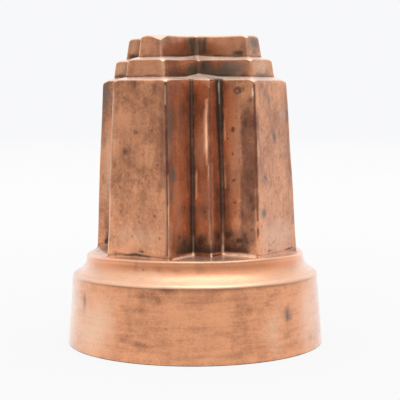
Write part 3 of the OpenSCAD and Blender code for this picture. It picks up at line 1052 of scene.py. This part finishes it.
# Small dark dots and rings: the centre, the radius of the hollow and the reach of the mark
DOTS = [
    (-9.5, -46.0, 124.2, 0, 0.6), (-7.7, -46.1, 123.2, 0, 0.6), (-3.3, -46.4, 117.5, 0, 0.7),
    (-2.5, -46.8, 107.5, 0.9, 0.5), (7.4, -46.7, 108.6, 0, 0.9), (-8.3, -47.2, 98.3, 0, 1.3),
    (-12.0, -47.0, 102.6, 0, 0.7), (10.8, -47.5, 92.2, 0, 0.8), (2.7, -47.7, 88.6, 0, 0.6),
    (-10.9, -48.0, 81.4, 0, 0.8), (0.7, -48.6, 64.7, 0, 0.6), (-3.8, -48.9, 57.7, 0, 0.6),
    (-14.1, -48.9, 57.0, 0, 0.7), (-9.3, -48.8, 57.8, 0, 0.6), (9.5, -48.5, 68.0, 0, 0.7),
    (13.0, -48.4, 71.0, 0, 0.6), (13.3, -48.9, 57.8, 0, 0.7), (-43.7, -18.0, 59.4, 0, 0.8),
    (-43.7, -18.1, 56.8, 0, 0.6), (17.8, -39.7, 57.6, 0, 0.8), (24.3, -27.8, 69.4, 0, 0.9),
    (28.9, -28.8, 50.5, 0, 0.7), (35.4, -15.6, 127.3, 1.4, 0.7), (32.9, -16.2, 108.6, 0.5, 0.9),
    (37.9, -16.0, 114.9, 0, 0.9), (39.6, -16.0, 112.1, 0, 1.1), (30.1, -16.3, 104.2, 0, 0.7),
    (33.2, -16.6, 97.1, 0, 0.7), (44.2, -17.2, 85.4, 0, 1.1), (34.1, -17.3, 84.1, 0, 1.1),
    (34.9, -17.6, 73.5, 0, 0.8), (40.8, -18.0, 58.4, 0, 1.1), (42.0, -18.2, 55.1, 0, 1.2),
    (45.2, -17.9, 61.0, 0, 0.9), (45.0, -18.0, 55.2, 0, 0.7), (45.5, -12.9, 114.9, 0, 0.7),
    (45.4, -9.0, 117.0, 0, 0.5), (46.4, 12.6, 98.6, 0, 0.8), (46.9, -1.8, 90.0, 0, 0.7),
    (47.1, -9.8, 85.6, 0, 1.0), (47.4, -0.6, 78.2, 0, 0.5), (47.4, 1.0, 80.2, 0, 0.5),
    (47.4, 3.6, 81.4, 0, 0.5), (48.4, -15.0, 62.5, 0, 0.5), (48.5, -14.6, 60.8, 0, 0.4),
    (48.7, -9.2, 56.6, 0, 0.4), (48.8, -9.1, 55.4, 0, 0.4), (48.8, -8.9, 54.2, 0, 0.45),
    (48.9, -8.4, 53.0, 0, 0.5), (48.9, -7.2, 52.6, 0, 0.5), (49.0, -6.0, 52.7, 0, 0.5),
    (49.0, -4.9, 53.2, 0, 0.5), (48.9, -3.7, 53.8, 0, 0.45), (48.9, -2.6, 54.4, 0, 0.4),
    (48.9, -1.3, 54.7, 0, 0.4), (48.9, 8.5, 53.8, 0, 0.5), (23.2, -59.3, 17.0, 0, 0.7),
    (-17.2, -62.1, 5.9, 0, 0.45), (7.8, -55.3, 42.9, 0, 0.7), (40.3, -6.0, 137.6, 0, 0.6),
    (35.6, -4.2, 147.3, 0, 0.45), (35.6, -3.0, 147.7, 0, 0.45), (35.5, -1.8, 148.3, 0, 0.45),
]


def seen(x, y, z):
    """Whether the photograph shows the place, in mm, so that its stains are its own."""
    ledge, front, half_arm, left_arm = 47.5, 10.0, 13.0, -38.0
    if z < ledge:
        return PHOTO_FRONT[0] * x + PHOTO_FRONT[1] * y > front
    if min(abs(x), abs(y)) > half_arm:
        return x > 0 > y or x < left_arm
    return x > abs(y) or -y > abs(x)


def turned(marks, random):
    """More marks of the same kinds, strewn over the sides that the photograph doesn't show."""
    others = []
    for *places, strength in marks:
        for turns in (1, 2, 3):
            places = [(-p[1], p[0], p[2]) if isinstance(p, tuple) else p for p in places]
            shift = random.normal(0.0, STREWN_STRAY)
            weight = random.uniform(*STREWN_STRENGTH)
            chosen = random.random()
            if chosen > STREWN_SHARE or seen(*places[0]):
                continue
            moved = list(places)
            if not isinstance(places[1], tuple):
                wide, deep, tall = places[1:] if turns == 2 else (places[2], places[1], places[3])
                x, y, z = places[0]
                strays = STRAY_HEIGHTS[0] < z < STRAY_HEIGHTS[1] and tall < TALL_MARK
                moved = [(x, y, z + shift * strays), wide, deep, tall]
            others.append((*moved, min(1.0, strength * weight)))
    return others


def cover_of(mark, places, drift, sharp):
    """How far one mark covers each place, from 0 to 1."""
    if isinstance(mark[1], tuple):
        start, end, reach = np.array(mark[0]), np.array(mark[1]), mark[2]
        along = end - start
        wandered = places + drift * LINE_WANDER * reach - start
        share_along = np.clip((places - start) @ along / (along @ along), 0.0, 1.0)
        off = np.linalg.norm(wandered - share_along[:, None] * along, axis=1)
        return smooth(1.25, 0.5, off / reach)
    reach = np.array(mark[1:4])
    wander = PATCH_WANDER if sharp else STAIN_WANDER
    off = (places + drift * wander * reach.min() - mark[0]) / reach
    if sharp:
        return np.prod(smooth(1.1, 0.9, np.abs(off)), axis=1)
    return smooth(1.3, 0.2, np.linalg.norm(off, axis=1))


def marked(places):
    """The tones of all stains, patches and lines on the places, in mm."""
    random = np.random.default_rng(STREWING_SEED)
    drift = np.array([noise.noise_vector(Vector(p) / STAIN_WAVES) for p in places])
    tones = {tone: np.zeros(len(places)) for tone in TONES}
    for table in (STAINS, PATCHES, LINES):
        for tone, marks in table.items():
            if table is not LINES:
                marks = [(tuple(mark[:3]), *mark[3:]) for mark in marks]
            for mark in marks + turned(marks, random):
                cover = cover_of(mark, places, drift, table is PATCHES)
                tones[tone] = 1 - (1 - tones[tone]) * (1 - mark[-1] * cover)
    return tones


def tarnish(points, sizes):
    """How much of each tone lies on every point, and how much of it has never been polished."""
    tones = marked(points / MM)
    ledge, body_top, lower_top, _ = levels(sizes)
    height = points[:, 2]
    folded = np.sort(np.abs(points[:, :2]), axis=1)
    nearer, further = folded[:, 0], folded[:, 1]

    def at_least(tone, amount):
        tones[tone] = np.maximum(tones[tone], amount)

    on_end = smooth(43.5 * MM, 45.5 * MM, further)
    clean_foot = on_end * (1 - smooth(ledge + 4 * MM, ledge + 38 * MM, height))
    on_tiers = smooth(body_top - 1 * MM, body_top + 2 * MM, height)
    unpolished = smooth(ledge - 3 * MM, ledge, height)
    tones["patina"] = unpolished * (1 - 0.4 * clean_foot - 0.4 * on_tiers)
    # Dust and painted sheen near the body's top and on the tiers
    tones["dust"] = smooth(body_top - 8 * MM, body_top - 3 * MM, height)
    # Pale arrises on the tiers: wear with a painted highlight
    at_least("worn", 0.8 * on_tiers)

    # Darker along the foot of the body between the arms
    in_nook = smooth(13 * MM, 16 * MM, nearer) * (1 - smooth(40 * MM, 47 * MM, further))
    above_ledge = height - ledge
    nook_foot_darkening = in_nook * smooth(1 * MM, 2.4 * MM, above_ledge) * np.exp(-above_ledge / (7 * MM))
    at_least("soot", np.minimum(1.5 * nook_foot_darkening, 1.0))
    # Umber fading up each tier's walls from the step below: painted shade at their foot
    for step, arm_end in ((body_top, 39 * MM), (lower_top, 34 * MM)):
        above_foot = height - step - 1.2 * MM
        on_wall = (above_foot > -0.6 * MM) * (above_foot < 9.2 * MM)
        on_wall = on_wall * (1 - smooth(arm_end - 1 * MM, arm_end, further))
        at_least("umber", 0.7 * on_wall * np.exp(-np.abs(above_foot) / (4 * MM)))

    # Across the shoulder: a dark line just under the crease as painted shade, a pale band above the
    # crease as a painted highlight, and an orange band under the ledge as a painted reflection
    above_crease = (height - sizes.rim_height) / MM
    at_least("seam", 0.35 * np.exp(-(((above_crease + 1.3) / 0.7) ** 2)))
    at_least("pale", 0.3 * smooth(0.0, 0.8, above_crease) * smooth(7.5, 2.5, above_crease))
    at_least("orange", 0.5 * smooth(3.5, 6.5, above_crease) * smooth(10.8, 9.8, above_crease))
    return tones


def make_piece(context, name, inside, rings, finish):
    """One side of the sheet as a piece, marked with its tarnish."""
    noise.seed_set(HAMMERING_SEED)
    sizes = context.scene.mould_sizes
    skin = make_skin(sizes, inside, rings)
    points = wear_corners(np.vstack(skin.rings), sizes)
    points = knocked(crush(points, sizes, inside), sizes)
    points = points + unevenness(points, sizes.waviness)
    points = np.clip(points, np.array(CAD_LOW), np.array(CAD_HIGH))
    skin.tones = tarnish(points, sizes)
    skin.rings = list(points.reshape(len(skin.rings), -1, 3))
    mesh = mesh_from_skin(name, skin, inside)
    close_seams(mesh)
    piece = bpy.data.objects.new(name, mesh)
    context.scene.collection.objects.link(piece)
    mesh.materials.append(finish)
    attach(piece, BODY)
    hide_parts(NODE)


class MOULD_OT_copper(bpy.types.Operator):
    """Raise the copper outside of the mould"""

    bl_idname = "mould.copper"
    bl_label = "Raise the copper"

    def execute(self, context):
        finish = copper_finish(context.scene.mould_finish)
        make_piece(context, "mould_copper", False, COPPER_RINGS, finish)
        return {"FINISHED"}


class MOULD_OT_lining(bpy.types.Operator):
    """Line the mould with tin"""

    bl_idname = "mould.lining"
    bl_label = "Line with tin"

    def execute(self, context):
        finish = tin_finish(context.scene.mould_finish)
        make_piece(context, "mould_lining", True, LINING_RINGS, finish)
        return {"FINISHED"}


# Finishes


class Reading:
    """A number that a node gives, on which sums can be written."""

    def __init__(self, finish, socket):
        self.finish, self.socket = finish, socket

    def _sum(self, kind, *values, clamp=False):
        return self.finish.node(
            "ShaderNodeMath", {"operation": kind, "use_clamp": clamp}, *values).value()

    def __add__(self, other):
        return self._sum("ADD", self, other)

    def __radd__(self, other):
        return self._sum("ADD", other, self)

    def __sub__(self, other):
        return self._sum("SUBTRACT", self, other)

    def __rsub__(self, other):
        return self._sum("SUBTRACT", other, self)

    def __mul__(self, other):
        return self._sum("MULTIPLY", self, other)

    def __rmul__(self, other):
        return self._sum("MULTIPLY", other, self)

    def __abs__(self):
        return self._sum("ABSOLUTE", self)

    def clamped(self):
        return self._sum("ADD", self, 0.0, clamp=True)

    def most(self, other):
        return self._sum("MAXIMUM", self, other)

    def least(self, other):
        return self._sum("MINIMUM", self, other)

    def between(self, low, high):
        """0 at low, 1 at high, and a smooth way between them."""
        return self.finish.node(
            "ShaderNodeMapRange", {"interpolation_type": "SMOOTHSTEP"}, self, low, high, 0.0, 1.0
        ).value()


class Placed:
    """A node in a finish, with its outputs by name."""

    def __init__(self, finish, node):
        self.finish, self.made = finish, node

    def value(self, name=None):
        sockets = [s for s in self.made.outputs if s.enabled]
        if name is not None:
            sockets = [s for s in sockets if s.name == name]
        return Reading(self.finish, sockets[0])


class Finish:
    """A material or a world under construction."""

    def __init__(self, name, world=False):
        self.made = (bpy.data.worlds if world else bpy.data.materials).new(name)
        self.made.use_nodes = True
        self.tree = self.made.node_tree
        self.tree.nodes.clear()

    def node(self, kind, settings=None, *values, **named):
        """Adds a node: its settings first, then the values or links of its sockets in order."""
        made = self.tree.nodes.new(kind)
        for key, setting in (settings or {}).items():
            setattr(made, key, setting)
        enabled = [s for s in made.inputs if s.enabled]
        pairs = list(zip(enabled, values))
        for key, value in named.items():
            wanted = key.replace("_", " ")
            pairs.append((next(s for s in enabled if s.name == wanted), value))
        for socket, value in pairs:
            if isinstance(value, Reading):
                self.tree.links.new(value.socket, socket)
            elif value is not None:
                socket.default_value = value
        return Placed(self, made)

    def attribute(self, name):
        return self.node("ShaderNodeAttribute", {"attribute_name": name}).value("Fac")

    def vector(self, operation, *values):
        """Vectors put together, as one of the kinds of sum that Vector Math knows."""
        return self.node("ShaderNodeVectorMath", {"operation": operation}, *values).value()

    def place(self):
        """Where the shaded point is, in the mould's own frame."""
        return self.node("ShaderNodeTexCoord").value("Object")

    def noise(self, place, scale, detail=3.0, roughness=0.55, distortion=0.0):
        return self.node("ShaderNodeTexNoise", None, place, Scale=scale, Detail=detail,
                         Roughness=roughness, Distortion=distortion).value()

    def stretched(self, place, factors, turn=(0.0, 0.0, 0.0)):
        """The place turned and stretched, for marks that run one way."""
        return self.node("ShaderNodeMapping", None, place, Rotation=turn, Scale=factors).value()

    def mixed(self, amount, first, second, kind="MIX"):
        """One colour over another."""
        mix = self.node("ShaderNodeMix", {"data_type": "RGBA", "blend_type": kind,
                                          "clamp_factor": True})
        sockets = {s.identifier: s for s in mix.made.inputs}
        for key, value in (("Factor_Float", amount), ("A_Color", first), ("B_Color", second)):
            if isinstance(value, Reading):
                self.tree.links.new(value.socket, sockets[key])
            else:
                sockets[key].default_value = value if key == "Factor_Float" else (*value, 1.0)
        out = next(s for s in mix.made.outputs if s.identifier == "Result_Color")
        return Reading(self, out)

    def spots(self, place, marks):
        """1 on some small dots and rings, given by their centre, hollow and reach, 0 elsewhere."""
        nearest = None
        for *centre, hollow, reach in marks:
            away = self.vector("DISTANCE", place, tuple(c * MM for c in centre))
            if hollow:
                away = abs(away - hollow * MM)
            away = away * (1 / (reach * MM))
            nearest = away if nearest is None else nearest.least(away)
        return nearest.between(1.25, 0.45)

    def metal(self, base, roughness, metallic, normal, coat, **constants):
        """The surface itself, joined to the material's output."""
        shader = self.node("ShaderNodeBsdfPrincipled")
        wanted = {"Base Color": base, "Roughness": roughness, "Metallic": metallic,
                  "Normal": normal, "Coat Weight": coat, **constants}
        for key, value in wanted.items():
            socket = shader.made.inputs[key]
            if isinstance(value, Reading):
                self.tree.links.new(value.socket, socket)
            elif value is not None:
                socket.default_value = value
        self.node("ShaderNodeOutputMaterial", None, shader.value())
        return self.made


def ragged_dots(f, place):
    """The small dark dots and rings, with outlines that stray a little either way."""
    strays = 1.3 * MM
    wobble = f.node("ShaderNodeTexNoise", None, place, Scale=520.0, Detail=2.0).value("Color")
    strayed = f.vector("MULTIPLY_ADD", wobble, (2 * strays,) * 3, place)
    return f.spots(f.vector("SUBTRACT", strayed, (strays,) * 3), DOTS)


def copper_finish(finish):
    """Old polished copper: mottled, brown in places, dark in its corners, pale with wear and painted
    highlights on its edges.
    """
    f = Finish("aged_copper")
    place = f.place()
    nook, edge, arris, patina = (f.attribute(name) for name in ("nook", "edge", "arris", "patina"))
    tone = {name: f.attribute(name) for name in TONES}

    def laid(over, amount, colour):
        return f.mixed(amount.clamped(), over, colour)

    # Noises from broad clouds down to the finest grain, some drawn out along or around the mould
    clouds = f.noise(place, 46.0, 3.0, 0.5)
    blots = f.noise(f.stretched(place, (1.0, 1.0, 0.8)), 165.0, 5.0, 0.72)
    dots = f.noise(place, 560.0, 3.0, 0.6)
    grain = f.noise(place, 1900.0, 2.0, 0.6)
    drips = f.noise(f.stretched(place, (1.0, 1.0, 0.1)), 420.0, 3.0, 0.6)
    polish = f.noise(f.stretched(place, (1.0, 1.0, 9.0)), 60.0, 4.0, 0.65)
    hue = f.noise(f.stretched(place, (1.0, 1.0, 0.7), (0.4, 0.9, 0.0)), 95.0, 3.0, 0.6)
    rub = f.noise(f.stretched(place, (1.0, 1.0, 0.25)), 330.0, 3.0, 0.6)
    mottle = clouds * 0.4 + blots * 0.35 + dots * 0.25
    patchy = 0.35 + 1.3 * blots

    # Brown tarnish over bare copper, strong on the body and faint on the polished rim
    on_body = 0.5 + (mottle - 0.5) * 5.0 + (drips - 0.5) * 1.2 + (grain - 0.5) * 1.6
    on_rim = 0.12 + (clouds - 0.5) * 1.1 + (blots - 0.5) * 0.9 + (dots - 0.5) * 0.7
    on_rim = on_rim + (polish - 0.5) * 1.3 + (grain - 0.5) * 0.9
    brown = on_rim + (on_body - on_rim) * patina + tone["brown"] * (0.3 + blots)
    base = f.mixed(brown.clamped(), finish.copper, finish.brown)

    # The stains, each tone over the ones before it
    base = laid(base, tone["orange"] * patchy, finish.orange)
    satin = (tone["satin"] * (0.1 + 1.8 * blots)).clamped()
    base = laid(base, satin * 0.8, finish.satin)
    film = hue.between(0.5, 0.72) * (0.06 + 0.22 * patina)
    blotches = blots.between(0.6, 0.7) * (0.06 + 0.3 * patina)
    umber = film + blotches + tone["umber"] * patchy
    base = laid(base, umber, finish.umber)
    slate = tone["slate"] * patchy
    base = laid(base, slate, finish.slate)
    olive = tone["olive"] * patchy
    base = laid(base, olive, finish.olive)
    # Pale: worn copper, and painted highlights and reflections
    base = laid(base, tone["pale"] * patchy, finish.pale)
    specks = dots.between(0.68, 0.75) * blots.between(0.42, 0.58) * (0.2 + 0.5 * patina)
    marks = ragged_dots(f, place) * (0.2 + 1.4 * dots)
    base = laid(base, (marks * 0.8).most(specks), finish.umber)

    # Dust and painted sheen on what faces up, darkening in the corners and at the walls' feet,
    # painted dark lines, and pale metal with painted highlights on the edges
    up = f.node("ShaderNodeSeparateXYZ", None, f.node("ShaderNodeNewGeometry").value("Normal"))
    level = up.value("Z").between(0.6, 0.95)
    dust = level * f.attribute("dust") * (0.35 + 0.9 * blots)
    base = laid(base, dust * 0.95, finish.dust)
    # Painted dark lines: the arrises' dark reflection and the shade under the crease
    seam = (tone["seam"] * (0.3 + 1.4 * blots)).clamped()
    base = laid(base, seam, finish.seam)
    # Painted highlights: shine, gleam and glare
    shine = (tone["shine"] * (0.3 + 1.4 * rub)).clamped()
    gleam = (tone["gleam"] * rub.between(0.22, 0.5)).clamped()
    glare = tone["glare"] * (0.7 + 0.6 * rub)
    in_nooks = (nook * (0.25 + 1.5 * mottle)).between(0.15, 0.9)
    sooty = (tone["soot"] * (0.1 + 1.8 * mottle)).between(0.08, 0.95)
    darkened = in_nooks.most(sooty) * (1 - shine.most(gleam).most(glare))
    base = laid(base, darkened * 0.9, finish.soot)
    # Pale along the bends and arrises: worn copper and a painted highlight together
    worn = arris * (0.08 + 0.95 * tone["worn"]) * rub.between(0.25, 0.6) * (1 - seam)
    worn_and_highlit = ((edge * (0.3 + 0.9 * blots) + worn) * (1 - darkened)).most(shine).clamped()
    base = laid(base, worn_and_highlit * 0.85, finish.pale)
    base = laid(base, gleam * 0.95, finish.gleam)
    base = laid(base, glare * 0.9, finish.glare)

    # How dull, how metallic and how uneven the surface is, and the painted glint of its bright
    # streaks, which glows
    covered = darkened.most(olive).most(umber * 0.6).most(slate * 0.7).clamped()
    roughness = (0.22 + 0.08 * brown.clamped() + 0.24 * covered + 0.14 * level - 0.05 * worn_and_highlit
                 + 0.1 * (grain - 0.5) + 0.06 * (blots - 0.5))
    metallic = 1 - (0.4 * covered + 0.08 * patina + 0.55 * satin).most(0.6 * level)
    metallic = metallic - (0.7 * shine).most(0.35 * gleam).most(0.8 * glare)
    coat = 0.9 - (0.75 * covered).most(0.5 * worn_and_highlit)
    height = clouds * 0.8 + blots * 0.35 + dots * 0.14 + grain * 0.06 + polish * 0.04 - marks * 0.05
    relief = f.node("ShaderNodeBump", None, Strength=0.4, Distance=0.25 * MM, Height=height)
    # The painted highlights also glow, through the emission
    glint = f.mixed(shine * 0.6, (0.0, 0.0, 0.0), finish.pale)
    glint = f.mixed(gleam, glint, finish.gleam)
    glint = f.mixed(glare * 0.6, glint, finish.glare)
    return f.metal(base, roughness.clamped(), metallic.clamped(), relief.value(), coat,
                   **{"Emission Color": glint, "Emission Strength": 0.5,
                      "Coat Roughness": 0.16, "Coat IOR": 1.42, "Sheen Weight": 0.3,
                      "Sheen Roughness": 0.35, "Sheen Tint": (1.0, 0.95, 0.9, 1.0)})


def tin_finish(finish):
    """The dull tin lining, worn and stained."""
    f = Finish("tin_lining")
    place = f.place()
    clouds = f.noise(place, 60.0, 5.0, 0.6, 0.5)
    base = f.mixed(clouds.between(0.4, 0.7) * 0.6, finish.tin, finish.tin_stain)
    # Darker in the corners and at the feet of the walls
    base = f.mixed(f.attribute("nook") * 0.5, base, finish.soot)
    roughness = 0.38 + 0.2 * clouds
    relief = f.node("ShaderNodeBump", None, Strength=0.4, Distance=0.2 * MM, Height=clouds)
    return f.metal(base, roughness, 0.9, relief.value(), 0.0)


# Stage


def world_light(stage):
    """A plain white room, darker on the side from which the mould is photographed.

    A broad softbox hangs over the mould, a little to the right of it.
    """
    f = Finish("studio", world=True)
    bpy.context.scene.world = f.made
    toward = Vector((math.sin(stage.azimuth), -math.cos(stage.azimuth), 0.0))
    aside = Vector((math.cos(stage.azimuth), math.sin(stage.azimuth), 0.0))
    to_box = Vector((0.0, 0.0, 1.0)) + aside * stage.softbox_aside + toward * stage.softbox_ahead
    direction = f.node("ShaderNodeTexCoord").value("Generated")
    facing = f.vector("DOT_PRODUCT", direction, toward)
    upward = f.node("ShaderNodeSeparateXYZ", None, direction).value("Z")
    at_box = f.vector("DOT_PRODUCT", direction, to_box.normalized())
    room = stage.room_side + (stage.room_near - stage.room_side) * facing.between(-0.35, 0.35)
    room = room + (stage.room_far - stage.room_side) * facing.between(-0.62, -0.76)
    room = room + (stage.room_above - room) * upward.between(0.22, 0.85)
    room = room + (stage.softbox - room) * at_box.between(0.82, 0.975)
    seen = f.node("ShaderNodeBackground", None, Color=WHITE)
    around = f.node("ShaderNodeBackground", None, Strength=room)
    path = f.node("ShaderNodeLightPath")
    mix = f.node("ShaderNodeMixShader", None, path.value("Is Camera Ray"),
                 around.value(), seen.value())
    f.node("ShaderNodeOutputWorld", None, mix.value())


def floor_finish(paper_colour):
    """White paper: it keeps the mould's shadow, and further off it looks plain white."""
    f = Finish("white_paper")
    from_middle = f.vector("LENGTH", f.place())
    paper = f.node("ShaderNodeBsdfDiffuse", None, Color=(*paper_colour, 1.0))
    near = f.node("ShaderNodeEmission", None, Color=NEAR_WHITE, Strength=1.0)
    far = f.node("ShaderNodeEmission", None, Color=WHITE, Strength=1.0)
    glow = f.node("ShaderNodeMixShader", None, from_middle.between(0.5, 3.6),
                  near.value(), far.value())
    path = f.node("ShaderNodeLightPath")
    bare = 0.9 + 0.1 * from_middle.between(0.12, 0.6)
    reflected = path.value("Is Glossy Ray").most(path.value("Is Transmission Ray"))
    looked_at = (path.value("Is Camera Ray") * bare).most(reflected)
    mix = f.node("ShaderNodeMixShader", None, looked_at, paper.value(), glow.value())
    f.node("ShaderNodeOutputMaterial", None, mix.value())
    return f.made


def lay_floor(context):
    """A square of paper that reaches well past the view."""
    half = 6.0
    corners = [(-half, -half, 0), (half, -half, 0), (half, half, 0), (-half, half, 0)]
    mesh = bpy.data.meshes.new("floor")
    mesh.from_pydata(corners, [], [(0, 1, 2, 3)])
    mesh.materials.append(floor_finish(context.scene.mould_finish.paper))
    floor = bpy.data.objects.new("floor", mesh)
    context.scene.collection.objects.link(floor)


def hang_lamp(context, stage):
    """One broad soft lamp right over the mould, which doesn't show in the metal."""
    lamp = bpy.data.lights.new("overhead", "AREA")
    lamp.shape = "SQUARE"
    lamp.size = stage.overhead_size
    lamp.energy = stage.overhead
    hung = bpy.data.objects.new("overhead", lamp)
    hung.location = (0.0, 0.0, stage.overhead_height)
    hung.visible_glossy = False
    context.scene.collection.objects.link(hung)


def aim_camera(context, stage):
    """The camera on its side of the mould, yawed, pitched down and rolled as in the photograph."""
    lens = bpy.data.cameras.new("camera")
    lens.sensor_width = 36.0
    lens.lens = stage.focal
    camera = bpy.data.objects.new("camera", lens)
    context.scene.collection.objects.link(camera)
    context.scene.camera = camera
    ahead = Vector((-math.sin(stage.azimuth), math.cos(stage.azimuth), 0.0))
    aside = Vector((math.cos(stage.azimuth), math.sin(stage.azimuth), 0.0))
    flat = ahead * math.cos(stage.yaw) + aside * math.sin(stage.yaw)
    forward = flat * math.cos(stage.pitch) + Vector((0, 0, -math.sin(stage.pitch)))
    right = aside * math.cos(stage.yaw) - ahead * math.sin(stage.yaw)
    up = right.cross(forward)
    rolled_right = right * math.cos(stage.roll) + up * math.sin(stage.roll)
    rolled_up = up * math.cos(stage.roll) - right * math.sin(stage.roll)
    placed = Matrix((rolled_right, rolled_up, -forward)).transposed().to_4x4()
    placed.translation = -ahead * stage.distance + Vector((0, 0, stage.height))
    camera.matrix_world = placed


class MOULD_OT_stage(bpy.types.Operator):
    """Lay the floor, hang the lamps and set up the camera"""

    bl_idname = "mould.stage"
    bl_label = "Set the stage"

    def execute(self, context):
        stage = context.scene.mould_stage
        lay_floor(context)
        world_light(stage)
        hang_lamp(context, stage)
        aim_camera(context, stage)
        context.scene.view_settings.view_transform = "Standard"
        return {"FINISHED"}


class VIEW3D_PT_mould(bpy.types.Panel):
    """The steps that make the mould"""

    bl_label = "Copper jelly mould"
    bl_idname = "VIEW3D_PT_mould"
    bl_space_type = "VIEW_3D"
    bl_region_type = "UI"
    bl_category = "Mould"

    def draw(self, context):
        for step in STEPS:
            self.layout.operator(step.bl_idname)


STEPS = (MOULD_OT_stage, MOULD_OT_copper, MOULD_OT_lining)
CLASSES = (MouldSizes, MouldFinish, MouldStage, *STEPS, VIEW3D_PT_mould)


def register():
    for cls in CLASSES:
        bpy.utils.register_class(cls)
    bpy.types.Scene.mould_sizes = bpy.props.PointerProperty(type=MouldSizes)
    bpy.types.Scene.mould_finish = bpy.props.PointerProperty(type=MouldFinish)
    bpy.types.Scene.mould_stage = bpy.props.PointerProperty(type=MouldStage)


def unregister():
    del bpy.types.Scene.mould_stage
    del bpy.types.Scene.mould_finish
    del bpy.types.Scene.mould_sizes
    for cls in reversed(CLASSES):
        bpy.utils.unregister_class(cls)


def main():
    register()
    bpy.ops.mould.stage()
    bpy.ops.mould.copper()
    bpy.ops.mould.lining()


if __name__ == "__main__":
    main()
